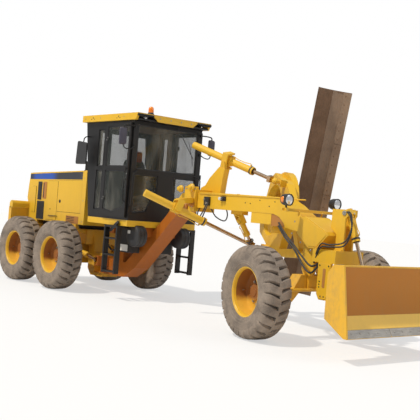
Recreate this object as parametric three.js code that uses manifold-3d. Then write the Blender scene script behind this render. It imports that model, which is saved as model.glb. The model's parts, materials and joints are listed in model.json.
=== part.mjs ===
// Motor grader with a mid-mounted moldboard, a front dozer blade and a full cab.
// Units are millimetres. +X is forward, +Y is the machine's left, +Z is up.
// While it is built, x = 0 is the front axle, y = 0 the centre plane and z = 0 the ground;
// at the end the whole machine is moved so that its origin is under the middle of its box.
import * as THREE from 'three';
import { mergeVertices } from 'three/addons/utils/BufferGeometryUtils.js';
import Module from 'manifold-3d';

const wasm = await Module();
wasm.setup();

// ---- driving dimensions ------------------------------------------------------------------

const SEAT = 0.4;                 // gap between two faces that touch on the machine
const CLEAR = 6;                  // least gap between pieces that move past each other
const ROD_GAP = 0.6;              // radial gap of a rod in its barrel

// running gear
const TYRE_RADIUS = 665;
const TYRE_WIDTH = 445;
const RIM_RADIUS = 345;
const TRACK = 2180;               // between tyre centres, front and rear
const WHEELBASE = 6480;           // front axle to the middle of the tandems
const TANDEM_SPACING = 1540;
const STEER_REST = -11;           // degrees, the front wheels stand turned to the right
const KINGPIN_Y = 810;
const LEAN_PIN_Y = 690;
const HUB_RADIUS = 120;

// articulated frame
const HITCH_X = -5600;
const BEAM_WIDTH = 340;
const BEAM_TOP = 2035;
const BEAM_BOTTOM = 1790;
const RAIL_TOP = 1180;
const RAIL_WIDTH = 700;

// cab
const CAB_HALF_WIDTH = 780;
const CAB_WALL = 60;
const CAB_FLOOR = 1465;
const CAB_TOP = 3270;
const ROOF_THICKNESS = 130;
const DOOR_THICKNESS = 40;

// engine hood
const HOOD_OVERHANG = 1540;       // the hood's rear face, behind the middle of the tandems
const HOOD_REAR = -WHEELBASE - HOOD_OVERHANG;
const HOOD_FRONT = -5630;
const HOOD_HALF_WIDTH = 600;
const HOOD_BOTTOM = 1270;
const HOOD_TOP_REAR = 2270;
const HOOD_TOP_FRONT = 2350;
const HOOD_WALL = 40;

// drawbar, circle and moldboard, standing in the bank-sloping position
const BALL = new THREE.Vector3(-137, 0, 1115);
const DRAWBAR_DIP = 21;           // degrees, how far the drawbar falls towards its ball
const DRAWBAR_YAW = 28.6;         // degrees, how far the circle stands out to the left
const DRAWBAR_ROLL = 85.3;        // degrees, how far the circle is turned on its edge
const CIRCLE_ARM = 2050;          // ball to circle centre, along the drawbar
const CIRCLE_RADIUS = 690;
const CIRCLE_BORE = 545;
const BLADE_TURN = 12.9;          // degrees about the circle's axis
const BLADE_LENGTH = 3660;
const BLADE_HEIGHT = 610;
const BLADE_SHIFT = 400;          // along the blade, from the circle's centre
const TRUNNION_X = -2430;         // the lift cylinders' trunnions
const SADDLE_X = [-2950, -2650];  // the saddle's clamp round the beam
const SADDLE_ROLL = 40;           // degrees about the beam

// front dozer blade
const DOZER_WIDTH = 2620;
const DOZER_BOTTOM = 330;
const DOZER_TOP = 1220;
const DOZER_FRONT = 1860;

// ---- tools for making solids -------------------------------------------------------------

const COLOUR = {
  yellow: 0xf2a900, black: 0x17181a, rubber: 0x1c1d1f, steel: 0x6b5a4c, chrome: 0xc9ccd0,
  grey: 0x55585c, seat: 0x2b2320, lamp: 0xdedede,
};

function toSolid(geometry) {
  const bare = geometry.index ? geometry.toNonIndexed() : geometry.clone();
  bare.deleteAttribute('normal');
  bare.deleteAttribute('uv');
  const place = bare.attributes.position.array;
  place.forEach((value, index) => { place[index] = Math.round(value * 1000) / 1000; });
  const merged = mergeVertices(bare, 1e-4);
  return new wasm.Manifold(new wasm.Mesh({
    numProp: 3,
    vertProperties: new Float32Array(merged.attributes.position.array),
    triVerts: new Uint32Array(merged.index.array),
  }));
}

function toGeometry(solid) {
  const mesh = solid.getMesh();
  const geometry = new THREE.BufferGeometry();
  geometry.setAttribute('position', new THREE.BufferAttribute(new Float32Array(mesh.vertProperties), 3));
  geometry.setIndex(new THREE.BufferAttribute(new Uint32Array(mesh.triVerts), 1));
  return geometry;
}

const join = (...geometries) => toGeometry(
  geometries.map(toSolid).reduce((whole, piece) => whole.add(piece)));

const cut = (geometry, ...tools) => toGeometry(
  tools.map(toSolid).reduce((whole, tool) => whole.subtract(tool), toSolid(geometry)));

// A box between two corners.
function block(x0, x1, y0, y1, z0, z1) {
  const box = new THREE.BoxGeometry(x1 - x0, y1 - y0, z1 - z0);
  return box.translate((x0 + x1) / 2, (y0 + y1) / 2, (z0 + z1) / 2);
}

function outline(points, holes = []) {
  const shape = new THREE.Shape(points.map(([u, v]) => new THREE.Vector2(u, v)));
  shape.holes = holes.map((hole) => new THREE.Path(hole.map(([u, v]) => new THREE.Vector2(u, v))));
  return shape;
}

const extrude = (shape, depth) => new THREE.ExtrudeGeometry(
  shape, { depth, bevelEnabled: false, curveSegments: 12 });

// An outline in X and Z, carried across the machine from y0 to y1.
const slab = (points, y0, y1, holes) => extrude(outline(points, holes), y1 - y0)
  .rotateX(Math.PI / 2).translate(0, y1, 0);

// An outline in X and Y, carried up from z0 to z1.
const plate = (points, z0, z1, holes) => extrude(outline(points, holes), z1 - z0)
  .translate(0, 0, z0);

// An outline in Y and Z, carried forward from x0 to x1.
const section = (points, x0, x1, holes) => extrude(outline(points, holes), x1 - x0)
  .applyMatrix4(new THREE.Matrix4().makeBasis(
    new THREE.Vector3(0, 1, 0), new THREE.Vector3(0, 0, 1), new THREE.Vector3(1, 0, 0)))
  .translate(x0, 0, 0);

// A round bar from a to b.
function bar(a, b, radius, sides = 16) {
  const along = new THREE.Vector3().subVectors(b, a);
  const cylinder = new THREE.CylinderGeometry(radius, radius, along.length(), sides);
  const turn = new THREE.Quaternion().setFromUnitVectors(
    new THREE.Vector3(0, 1, 0), along.clone().normalize());
  const middle = new THREE.Vector3().addVectors(a, b).multiplyScalar(0.5);
  return cylinder.applyQuaternion(turn).translate(middle.x, middle.y, middle.z);
}

// A square bar from a to b, wide across `side` and thick across the third direction.
function strut(a, b, side, wide, thick) {
  const along = new THREE.Vector3().subVectors(b, a);
  const length = along.length();
  along.normalize();
  const up = new THREE.Vector3().crossVectors(along, side).normalize();
  const across = new THREE.Vector3().crossVectors(up, along);
  const middle = new THREE.Vector3().addVectors(a, b).multiplyScalar(0.5);
  return new THREE.BoxGeometry(length, wide, thick)
    .applyMatrix4(new THREE.Matrix4().makeBasis(along, across, up))
    .translate(middle.x, middle.y, middle.z);
}

// A turned piece about the Y axis: the profile lists [radius, y] and closes on itself or on the axis.
const turned = (profile, sides) => new THREE.LatheGeometry(
  profile.map(([r, y]) => new THREE.Vector2(r, y)), sides);

const v = (x, y, z) => new THREE.Vector3(x, y, z);
const rad = THREE.MathUtils.degToRad;
const mirrored = (points) => points.map(([u, w]) => [-u, w]).reverse();

const machine = new THREE.Group();

function mesh(parent, name, geometry, colour, roughness = 0.5, metalness = 0) {
  const material = new THREE.MeshStandardMaterial({ color: colour, roughness, metalness });
  const piece = new THREE.Mesh(geometry, material);
  piece.name = name;
  parent.add(piece);
  return piece;
}

// A group whose origin is a pivot or a working point of the machine.
function pivot(parent, name, position, rotation) {
  const group = new THREE.Group();
  group.name = name;
  group.position.copy(position);
  if (rotation) group.setRotationFromMatrix(rotation);
  parent.add(group);
  return group;
}

// ---- wheels ------------------------------------------------------------------------------

const TYRE_SIDES = 28;
const BEAD_WIDTH = TYRE_WIDTH * 0.72;

function tyreGeometry() {
  const half = TYRE_WIDTH / 2;
  const bead = BEAD_WIDTH / 2;
  const flat = Math.cos(Math.PI / TYRE_SIDES);      // the middle of a facet against its corners
  const inner = (RIM_RADIUS + SEAT) * flat;
  const profile = [
    [inner, -bead], [TYRE_RADIUS * 0.72, -half], [TYRE_RADIUS * 0.93, -half * 0.97],
    [TYRE_RADIUS, -half * 0.75], [TYRE_RADIUS, half * 0.75], [TYRE_RADIUS * 0.93, half * 0.97],
    [TYRE_RADIUS * 0.72, half], [inner, bead], [inner, -bead],
  ];
  // a facet, and not an edge, stands on the ground
  return turned(profile, TYRE_SIDES).rotateY(Math.PI / TYRE_SIDES)
    .scale(1 / flat, 1, 1 / flat);
}

// The rim's outer side is towards +Y; its disc is set deep, with a hub in the middle.
function rimGeometry() {
  const bead = BEAD_WIDTH / 2;
  const inner = RIM_RADIUS - 25;
  const profile = [
    [0, DISC_Y - DISC_HALF], [inner, DISC_Y - DISC_HALF], [inner, -bead + 30], [RIM_RADIUS, -bead - 12],
    [RIM_RADIUS, bead + 12], [inner, bead - 10], [inner, DISC_Y + DISC_HALF],
    [HUB_RADIUS, DISC_Y + DISC_HALF], [HUB_RADIUS, DISC_Y + 70], [0, DISC_Y + 70],
  ];
  return turned(profile, TYRE_SIDES).rotateY(Math.PI / TYRE_SIDES);
}

function wheel(parent, name, side) {
  const group = new THREE.Group();
  parent.add(group);
  if (side < 0) group.rotation.z = Math.PI;
  mesh(group, `${name}_tyre`, tyreGeometry(), COLOUR.rubber, 0.9);
  mesh(group, `${name}_rim`, rimGeometry(), COLOUR.yellow, 0.45);
}

// ---- hydraulic cylinders -------------------------------------------------------------------

// The pin axis about which a barrel has to turn, so that its rod's end follows `hinge`.
function pinAxisFor(base, end, hinge) {
  const along = new THREE.Vector3().subVectors(end, base).normalize();
  const motion = new THREE.Vector3().crossVectors(hinge.axis,
      new THREE.Vector3().subVectors(end, hinge.centre));
  return new THREE.Vector3().crossVectors(along, motion).normalize();
}

function cylinderFrame({ base, tip, hinge }) {
  const along = new THREE.Vector3().subVectors(tip, base).normalize();
  const across = pinAxisFor(base, tip, hinge);
  return new THREE.Matrix4().makeBasis(along, across, new THREE.Vector3().crossVectors(along, across));
}

// A cylinder lies along the local X axis of its group: the barrel's blind end at x = -behind, its
// pivot at x = 0 with the trunnion or eye along local Y, and the rod ends at x = reach.
function cylinder(parent, name, spec) {
  const { base, tip, hinge, barrelRadius, rodRadius, behind, barrelEnd, gap, pinHalf } = spec;
  const reach = base.distanceTo(tip) - gap;
  const frame = cylinderFrame(spec);
  const group = pivot(parent, `${name}_pivot`, base, frame);
  const bore = rodRadius + ROD_GAP;
  const capThickness = 30;
  const sides = 16;
  const barrel = turned([
    [0, -behind], [barrelRadius, -behind], [barrelRadius, barrelEnd - 60],
    [barrelRadius + 8, barrelEnd - 60], [barrelRadius + 8, barrelEnd], [bore, barrelEnd],
    [bore, -behind + capThickness], [0, -behind + capThickness],
  ], sides).rotateZ(-Math.PI / 2);
  const trunnion = block(-spec.collar, spec.collar, -barrelRadius - 22, barrelRadius + 22,
    -barrelRadius - 12, barrelRadius + 12);
  const pins = bar(v(0, -pinHalf, 0), v(0, pinHalf, 0), spec.pinRadius, 12);
  const boreTool = turned([
    [0, -behind + capThickness], [bore, -behind + capThickness], [bore, barrelEnd + 5], [0, barrelEnd + 5],
  ], sides).rotateZ(-Math.PI / 2);
  mesh(group, `${name}_barrel`, cut(join(barrel, trunnion, pins), boreTool), COLOUR.yellow, 0.4);
  const rodStart = -behind + capThickness + spec.retract;
  const rod = turned([[0, rodStart], [rodRadius, rodStart], [rodRadius, reach - spec.eye],
      [0, reach - spec.eye]],
    sides).rotateZ(-Math.PI / 2);
  const eye = block(reach - spec.eye - 20, reach, -spec.eyeHalf, spec.eyeHalf, -spec.eyeHalf, spec.eyeHalf);
  mesh(group, `${name}_rod`, join(rod, eye), COLOUR.chrome, 0.2, 1);
  return frame;
}

// A fork that holds a cylinder's cross pin: two cheeks and a back wall, in the cylinder's own frame.
function forkPieces(spec, thick) {
  const cheek = spec.pinHalf + SEAT;
  const half = spec.pinRadius + 20;
  const wall = spec.behind + 50;
  const frame = cylinderFrame(spec);
  const pieces = [block(-wall - thick, half, cheek, cheek + thick, -half, half),
    block(-wall - thick, half, -cheek - thick, -cheek, -half, half),
    block(-wall - thick, -wall, -cheek - thick, cheek + thick, -half, half)];
  return pieces.map((piece) => piece.applyMatrix4(frame).translate(spec.base.x, spec.base.y, spec.base.z));
}

// The drawbar swings on an upright axis through its ball.
const SWING = { centre: BALL, axis: v(0, 0, 1) };
const BEND = { centre: v(HITCH_X, 0, 0), axis: v(0, 0, 1) };

// centre shift cylinder, from a fork under the beam to the drawbar's lower leg
const CENTRE = {
  base: v(-1800, 110, 1640), tip: v(-1800, 430, 1190), hinge: SWING,
  barrelRadius: 46, rodRadius: 26, behind: 60, barrelEnd: 300, gap: 80,
  pinHalf: 80, pinRadius: 25, collar: 36, retract: 110, eye: 40, eyeHalf: 36,
};

// articulation cylinders, one on each side of the hitch
function articulationSpec(side) {
  return {
    base: v(HITCH_X - 550, side * 430, 770), tip: v(HITCH_X + 250, side * 380, 600), hinge: BEND,
    barrelRadius: 52, rodRadius: 28, behind: 55, barrelEnd: 460, gap: 48,
    pinHalf: 86, pinRadius: 25, collar: 40, retract: 160, eye: 40, eyeHalf: 34,
  };
}

// ---- rear frame, engine and tandem drives --------------------------------------------------

const rear = pivot(machine, 'rear_frame_body', v(0, 0, 0));
const TANDEM_X = -WHEELBASE;
const REAR_WHEEL_X = [TANDEM_X + TANDEM_SPACING / 2, TANDEM_X - TANDEM_SPACING / 2];
const WHEEL_Y = TRACK / 2;
const CASE_OUT = WHEEL_Y - TYRE_WIDTH / 2 - 2 * CLEAR;
const CASE_IN = CASE_OUT - 180;
const DISC_Y = -60;               // the wheel disc's middle, from the wheel's own middle
const DISC_HALF = 12;
const HITCH_HALF = 150;           // half height of the front frame's hitch boss
const HITCH_Z = 490;

function rearFrame() {
  const half = RAIL_WIDTH / 2;
  const railBottom = RAIL_TOP - 300;
  const rails = [-1, 1].map((side) => block(HOOD_REAR, HITCH_X - 320,
    Math.min(side * half, side * (half - 110)), Math.max(side * half, side * (half - 110)), railBottom,
        RAIL_TOP));
  const crossX = [HOOD_REAR + 60, TANDEM_X - 60, HITCH_X - 400];
  const crosses = crossX.map((x) => block(x, x + 120, -half, half, railBottom, RAIL_TOP));
  const axle = bar(v(TANDEM_X, -CASE_IN + SEAT, TYRE_RADIUS), v(TANDEM_X, CASE_IN - SEAT, TYRE_RADIUS),
      190, 20);
  const diff = block(TANDEM_X - 230, TANDEM_X + 230, -260, 260, TYRE_RADIUS - 190, railBottom + 20);
  const bumper = block(HOOD_REAR - 110, HOOD_REAR + 10, -1000, 1000, 1180, 1500);
  const bumperLeg = block(HOOD_REAR - 60, HOOD_REAR + 60, -half, half, railBottom, 1200);
  const hitchTop = HITCH_Z + HITCH_HALF;
  const hitchLow = HITCH_Z - HITCH_HALF;
  const nose = [[HITCH_X - 420, railBottom - 60], [HITCH_X - 420, RAIL_TOP - 20],
      [HITCH_X - 280, RAIL_TOP - 20],
    [HITCH_X - 200, hitchTop + 90], [HITCH_X + 110, hitchTop + 90], [HITCH_X + 110, hitchTop + SEAT],
    [HITCH_X - 180, hitchTop + SEAT], [HITCH_X - 180, hitchLow - SEAT], [HITCH_X + 110, hitchLow - SEAT],
    [HITCH_X + 110, hitchLow - 70], [HITCH_X - 300, hitchLow - 70], [HITCH_X - 420, hitchLow + 60]];
  const hitch = slab(nose, -190, 190);
  const sill = [[half - 40, RAIL_TOP - 110], [HOOD_HALF_WIDTH, RAIL_TOP - 30],
      [HOOD_HALF_WIDTH, HOOD_BOTTOM - SEAT],
    [HOOD_HALF_WIDTH - 55, HOOD_BOTTOM - SEAT], [HOOD_HALF_WIDTH - 80, RAIL_TOP], [half - 40, RAIL_TOP]];
  const sills = [HOOD_REAR + 300, TANDEM_X - 70, HITCH_X - 470].flatMap((x) => [
    section(sill, x, x + 140), section(mirrored(sill), x, x + 140)]);
  const forks = [-1, 1].flatMap((side) => [...forkPieces(articulationSpec(side), 30),
    block(HITCH_X - 690, HITCH_X - 500, Math.min(side * (half - 60), side * 475),
      Math.max(side * (half - 60), side * 475), railBottom, railBottom + 60)]);
  return join(...rails, ...crosses, axle, diff, bumper, bumperLeg, hitch, ...sills, ...forks);
}
mesh(rear, 'rear_frame', rearFrame(), COLOUR.yellow);

function hoodGeometry() {
  const profile = [[HOOD_REAR, HOOD_BOTTOM], [HOOD_FRONT, HOOD_BOTTOM], [HOOD_FRONT, HOOD_TOP_FRONT],
    [HOOD_REAR, HOOD_TOP_REAR]];
  const hollow = [[HOOD_REAR + HOOD_WALL, HOOD_BOTTOM - 10], [HOOD_FRONT - HOOD_WALL, HOOD_BOTTOM - 10],
    [HOOD_FRONT - HOOD_WALL, HOOD_TOP_FRONT - HOOD_WALL],
        [HOOD_REAR + HOOD_WALL, HOOD_TOP_REAR - HOOD_WALL]];
  const grille = block(HOOD_REAR - 10, HOOD_REAR + HOOD_WALL + 10, -GRILLE_HALF, GRILLE_HALF,
      GRILLE_LOW, GRILLE_HIGH);
  const inside = HOOD_HALF_WIDTH - HOOD_WALL;
  return cut(slab(profile, -HOOD_HALF_WIDTH, HOOD_HALF_WIDTH), slab(hollow, -inside, inside), grille,
    bumperNotch());
}
const GRILLE_HALF = 430;
const GRILLE_LOW = 1540;
const GRILLE_HIGH = 2130;
const bumperNotch = () => block(HOOD_REAR - 10, HOOD_REAR + 10 + SEAT, -1010, 1010, HOOD_BOTTOM - 10,
    1500 + SEAT);
mesh(rear, 'engine_hood', hoodGeometry(), COLOUR.yellow);
mesh(rear, 'radiator_grille', block(HOOD_REAR + 2, HOOD_REAR + 32, -GRILLE_HALF + SEAT, GRILLE_HALF - SEAT,
  GRILLE_LOW + SEAT, GRILLE_HIGH - SEAT), COLOUR.black);
mesh(rear, 'engine_block', block(-7600, -6050, -430, 430, RAIL_TOP + SEAT, 2020), COLOUR.grey, 0.6, 0.4);

// The tandem case carries the hubs of both wheels on its side.
function tandemCase(side) {
  const [front, back] = REAR_WHEEL_X;
  const r = 230;
  const low = TYRE_RADIUS - r;
  const high = TYRE_RADIUS + r;
  const points = [[back - r, TYRE_RADIUS - 110], [back - 110, low], [front + 110, low],
      [front + r, TYRE_RADIUS - 110],
    [front + r, TYRE_RADIUS + 110], [front + 110, high], [TANDEM_X + 250, high + 50],
        [TANDEM_X - 250, high + 50],
    [back - 110, high], [back - r, TYRE_RADIUS + 110]];
  const y0 = side > 0 ? CASE_IN : -CASE_OUT;
  const hubs = REAR_WHEEL_X.map((x) => bar(v(x, side * (CASE_OUT - 20), TYRE_RADIUS),
    v(x, side * (WHEEL_Y + DISC_Y - DISC_HALF - SEAT), TYRE_RADIUS), HUB_RADIUS, 20));
  return join(slab(points, y0, y0 + CASE_OUT - CASE_IN), ...hubs);
}

for (const [side, label] of [[1, 'left'], [-1, 'right']]) {
  mesh(rear, `tandem_case_${label}`, tandemCase(side), COLOUR.yellow);
  REAR_WHEEL_X.forEach((x, index) => {
    const name = `${index === 0 ? 'middle' : 'rear'}_wheel_${label}`;
    const group = pivot(rear, `${name}_pivot`, v(x, side * WHEEL_Y, TYRE_RADIUS));
    wheel(group, name, side);
  });
}

// ---- front frame ---------------------------------------------------------------------------

const front = pivot(machine, 'articulation_pivot', v(HITCH_X, 0, 0));
const fore = pivot(front, 'front_frame_body', v(-HITCH_X, 0, 0));
const AXLE_TOP = 930;             // the arched middle of the front axle
const NOSE_TOP = 1785;
const NOSE_HALF = 250;
const BALL_RADIUS = 70;
const LEG_X = [BALL.x + BALL_RADIUS + SEAT, 170];     // the two legs that stand on the front axle
const LEG_Y = [115, 170];

function frontFrame() {
  const half = BEAM_WIDTH / 2;
  const side = [
    [HITCH_X + 160, HITCH_Z - 150], [-4750, HITCH_Z - 140], [-4380, 560], [-3300, 1560],
        [-2980, BEAM_BOTTOM],
    [-760, BEAM_BOTTOM], [-620, 1745], [-520, 1660], [-480, 1590], [-140, 1540], [60, 1335],
    [200, 1335], [330, 1560], [20, NOSE_TOP], [-150, NOSE_TOP], [-420, 1950], [-620, BEAM_TOP],
    [-3080, BEAM_TOP], [-3560, 1560], [-3860, 1310], [-4700, 640], [HITCH_X + 160, 640]];
  const nose = slab([[-140, 1530], [100, 1335], [270, 1335], [475, 1540], [440, 1590], [20, NOSE_TOP],
      [-100, 1770]],
    -NOSE_HALF, NOSE_HALF);
  const legs = [-1, 1].map((s) => slab([[LEG_X[0], 1400], [LEG_X[0], 1010], [-20, AXLE_TOP + SEAT],
    [LEG_X[1] - 40, AXLE_TOP + SEAT], [LEG_X[1], 1000], [LEG_X[1], 1400]],
        s > 0 ? LEG_Y[0] : -LEG_Y[1], s > 0 ? LEG_Y[1] : -LEG_Y[0]));
  const socket = block(LEG_X[0], 10, -LEG_Y[1], LEG_Y[1], BALL.z - 60, BALL.z + 60);
  const boss = bar(v(HITCH_X, 0, HITCH_Z - HITCH_HALF), v(HITCH_X, 0, HITCH_Z + HITCH_HALF), 130, 24);
  const neck = block(HITCH_X, HITCH_X + 200, -130, 130, HITCH_Z - HITCH_HALF, HITCH_Z + HITCH_HALF);
  const cabLegs = [-4950, -4080].map((x) => block(x, x + 160, -420, 420, 1180,
      CAB_FLOOR - PLATFORM - SEAT));
  const lugs = [-1, 1].flatMap((side) => {
    const { tip, eyeHalf, pinRadius } = articulationSpec(side);
    const y0 = Math.min(side * (half - 10), side * (Math.abs(tip.y) + 45));
    const y1 = Math.max(side * (half - 10), side * (Math.abs(tip.y) + 45));
    const gap = eyeHalf + 38;
    return [block(tip.x - 45, tip.x + 70, y0, y1, tip.z - gap - 25, tip.z - gap),
      block(tip.x - 45, tip.x + 70, y0, y1, tip.z + gap, tip.z + gap + 25),
      block(tip.x + 40, tip.x + 70, y0, y1, tip.z - gap - 25, tip.z + gap + 25),
      bar(v(tip.x, tip.y, tip.z - gap - 5), v(tip.x, tip.y, tip.z + gap + 5), pinRadius - 3, 12)];
  });
  const centreFork = [...forkPieces(CENTRE, 25), block(CENTRE.base.x - 140, CENTRE.base.x + 140, 0, 130,
    CENTRE.base.z + 90, BEAM_BOTTOM + 20)];
  const cabPosts = [block(-4950, -4790, -half, half, 560, 1200),
      block(-4080, -3920, -half, half, 1150, 1200)];
  return join(slab(side, -half, half), nose, ...legs, socket, boss, neck, ...cabLegs, ...cabPosts,
    ...lugs, ...centreFork);
}
const PLATFORM = 110;
mesh(fore, 'front_frame', frontFrame(), COLOUR.yellow);


// ---- front axle, leaning and steering wheels -------------------------------------------------

const LEAN_PIN_Z = 570;
const AXLE_HALF = 90;
const EAR = 30;                   // thickness of the leaning bracket's ears
const BOSS_Z = [560, 770];        // the leaning bracket's kingpin boss
const BOSS_RADIUS = 50;
const FORK = 40;                  // thickness of the knuckle's upper and lower plates
const ARM = v(-240, -100, 0);     // steering arm of the left knuckle, from the kingpin
const LEAN_ARM = 150;             // lean bar above the lean pin
const LEAN_BAR_X = AXLE_HALF + EAR + 38;

function frontAxle() {
  const end = LEAN_PIN_Y - 40;
  const beam = section([[-end, 530], [-480, 540], [-300, 720], [300, 720], [480, 540], [end, 530],
      [end, 610],
    [520, 640], [330, AXLE_TOP], [-330, AXLE_TOP], [-520, 640], [-end, 610]], -AXLE_HALF, AXLE_HALF);
  const centre = block(LEG_X[0], LEG_X[1] - 40, -200, 200, 730, AXLE_TOP);
  const eyes = [-1, 1].map((side) => bar(v(-AXLE_HALF, side * LEAN_PIN_Y, LEAN_PIN_Z),
    v(AXLE_HALF, side * LEAN_PIN_Y, LEAN_PIN_Z), 55, 20));
  return join(beam, centre, ...eyes);
}
mesh(fore, 'front_axle', frontAxle(), COLOUR.yellow);

// The leaning bracket turns on the lean pin and carries the kingpin boss. Its origin is the lean pin.
function leanBracket(side) {
  const kingpin = KINGPIN_Y - LEAN_PIN_Y;
  const low = BOSS_Z[0] - LEAN_PIN_Z;
  const high = BOSS_Z[1] - LEAN_PIN_Z;
  const y = (a, b) => [Math.min(side * a, side * b), Math.max(side * a, side * b)];
  const ears = [-1, 1].flatMap((end) => {
    const x0 = end > 0 ? AXLE_HALF + SEAT : -AXLE_HALF - EAR;
    const x1 = x0 + EAR - SEAT;
    const ear = [bar(v(x0, 0, 0), v(x1, 0, 0), 55, 20), block(x0, x1, ...y(0, kingpin - 40), low + 5, 55)];
    const upper = block(x0, x1, ...y(-34, kingpin - 40), 0, LEAN_ARM + 34);
    return end > 0 ? [...ear, upper] : ear;
  });
  const back = block(-AXLE_HALF - EAR, AXLE_HALF + EAR, ...y(kingpin - 58, kingpin - 40), low + 5, high);
  const boss = bar(v(0, side * kingpin, low), v(0, side * kingpin, high), BOSS_RADIUS, 20);
  return join(...ears, back, boss);
}

function knuckle(side) {
  const [low, high] = BOSS_Z;
  const tip = WHEEL_Y - KINGPIN_Y + DISC_Y - DISC_HALF - SEAT;
  const wall = BOSS_RADIUS + CLEAR;
  const y = (a, b) => [Math.min(side * a, side * b), Math.max(side * a, side * b)];
  const plates = [[low - FORK, low - SEAT], [high + SEAT, high + FORK]].flatMap(([z0, z1]) => [
    bar(v(0, 0, z0), v(0, 0, z1), BOSS_RADIUS, 20), block(-45, 45, ...y(0, wall + 20), z0, z1)]);
  const back = block(-45, 45, ...y(wall, wall + 24), low - FORK, high + FORK);
  const spindle = bar(v(0, side * (wall + 5), TYRE_RADIUS), v(0, side * tip, TYRE_RADIUS), 60, 16);
  const flange = bar(v(0, side * (tip - 40), TYRE_RADIUS), v(0, side * tip, TYRE_RADIUS), HUB_RADIUS, 20);
  const arm = strut(v(0, 0, high + FORK / 2 + 1), v(ARM.x, side * ARM.y, high + FORK / 2 + 1),
      v(0, 1, 0), 50, FORK - 6);
  return join(...plates, back, spindle, flange, arm);
}

const steerTurn = new THREE.Matrix4().makeRotationZ(rad(STEER_REST));
for (const [side, label] of [[1, 'left'], [-1, 'right']]) {
  const lean = pivot(fore, `lean_${label}_pivot`, v(0, side * LEAN_PIN_Y, LEAN_PIN_Z));
  mesh(lean, `lean_bracket_${label}`, leanBracket(side), COLOUR.yellow);
  const steer = pivot(lean, `steer_${label}_pivot`, v(0, side * (KINGPIN_Y - LEAN_PIN_Y), -LEAN_PIN_Z),
      steerTurn);
  mesh(steer, `knuckle_${label}`, knuckle(side), COLOUR.yellow);
  const spin = pivot(steer, `front_wheel_${label}_pivot`, v(0, side * (WHEEL_Y - KINGPIN_Y), TYRE_RADIUS));
  wheel(spin, `front_wheel_${label}`, side);
}

// The lean bar joins the two leaning brackets in front of the axle and slides across as they lean.
mesh(fore, 'lean_bar', join(
  bar(v(LEAN_BAR_X, -LEAN_PIN_Y, LEAN_PIN_Z + LEAN_ARM),
      v(LEAN_BAR_X, LEAN_PIN_Y, LEAN_PIN_Z + LEAN_ARM), 24, 16),
  ...[-1, 1].map((side) => bar(v(AXLE_HALF + EAR + SEAT, side * LEAN_PIN_Y, LEAN_PIN_Z + LEAN_ARM),
    v(LEAN_BAR_X + 26, side * LEAN_PIN_Y, LEAN_PIN_Z + LEAN_ARM), 34, 16))), COLOUR.yellow);

// ---- cab -------------------------------------------------------------------------------------

const CAB_REAR = [-5200, -5500];      // at the floor and at the top
const CAB_FRONT = -3850;
const DOOR_X = [-4690, -3890];
const DOOR_Z = [CAB_FLOOR + 45, 3225];
const RAIL_Z = [2360, 2430];          // the door's middle rail
const SCREEN_HALF = 690;              // half the windscreen's opening
const SCREEN_Z = [2400, 3205];
const KICK_PANE = [[175, 2310], [175, 2060], [400, 1640], [700, 1600], [700, 2310]];

const DOOR_GAP = 10;                  // door to wall; the hinge axis lies in the door's inner face
const HINGE_RADIUS = 9;
const HINGE_Z = [1800, 2900];         // lower ends of the door's two hinge knuckles
const KNUCKLE = 80;
const EDGE = HINGE_RADIUS + CLEAR;    // hinge axis to the door's rear edge

const slope = (z) => (z - CAB_FLOOR) / (CAB_TOP - CAB_FLOOR);
const rearAt = (z) => CAB_REAR[0] + (CAB_REAR[1] - CAB_REAR[0]) * slope(z);

function cabOutline(inset, low, high) {
  return [[rearAt(low) + inset, low], [CAB_FRONT - inset, low], [CAB_FRONT - inset, high],
      [rearAt(high) + inset, high]];
}

function cabFrame() {
  const low = CAB_FLOOR + SEAT;
  const inside = CAB_HALF_WIDTH - CAB_WALL;
  const shell = slab(cabOutline(0, low, CAB_TOP), -CAB_HALF_WIDTH, CAB_HALF_WIDTH);
  const hollow = slab(cabOutline(CAB_WALL, low - 50, CAB_TOP + 50), -inside, inside);
  const across = CAB_HALF_WIDTH + 50;
  const doorway = block(DOOR_X[0] + 30, DOOR_X[1] - 30, -across, across, DOOR_Z[0] + 30, DOOR_Z[1] - 30);
  const quarters = [[1620, RAIL_Z[0]], [RAIL_Z[1], 3130]].map(([z0, z1]) =>
    block(-5030, -4830, -across, across, z0, z1));
  const windscreen = block(CAB_FRONT - 100, CAB_FRONT + 50, -SCREEN_HALF, SCREEN_HALF, ...SCREEN_Z);
  const kicks = [mirrored(KICK_PANE), KICK_PANE].map((outline) =>
      section(outline, CAB_FRONT - 100, CAB_FRONT + 50));
  const rearWindow = block(-5700, -5250, -600, 600, 2450, 3130);
  const opened = cut(shell, hollow, doorway, ...quarters, windscreen, ...kicks, rearWindow);
  const hinges = [-1, 1].flatMap((side) => HINGE_Z.flatMap((z) => [[z - 60, z - SEAT],
    [z + KNUCKLE + SEAT, z + KNUCKLE + 60]].flatMap(([z0, z1]) => {
    const y = side * (CAB_HALF_WIDTH + DOOR_GAP);
    const wall = side * (CAB_HALF_WIDTH - 5);
    return [bar(v(DOOR_X[0], y, z0), v(DOOR_X[0], y, z1), HINGE_RADIUS, 12),
      block(DOOR_X[0] - HINGE_RADIUS, DOOR_X[0] + HINGE_RADIUS - 1, Math.min(y, wall),
          Math.max(y, wall), z0, z1)];
  })));
  return join(opened, ...hinges);
}
mesh(fore, 'cab_frame', cabFrame(), COLOUR.black);

mesh(fore, 'cab_floor', block(CAB_REAR[0], CAB_FRONT, -CAB_HALF_WIDTH, CAB_HALF_WIDTH, CAB_FLOOR - PLATFORM,
  CAB_FLOOR), COLOUR.yellow);

const ROOF_HALF = 850;
const ROOF_X = [-5560, -3660];        // the roof stands out over the windscreen
mesh(fore, 'cab_roof', block(...ROOF_X, -ROOF_HALF, ROOF_HALF, CAB_TOP + SEAT,
    CAB_TOP + ROOF_THICKNESS), COLOUR.black);

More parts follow.
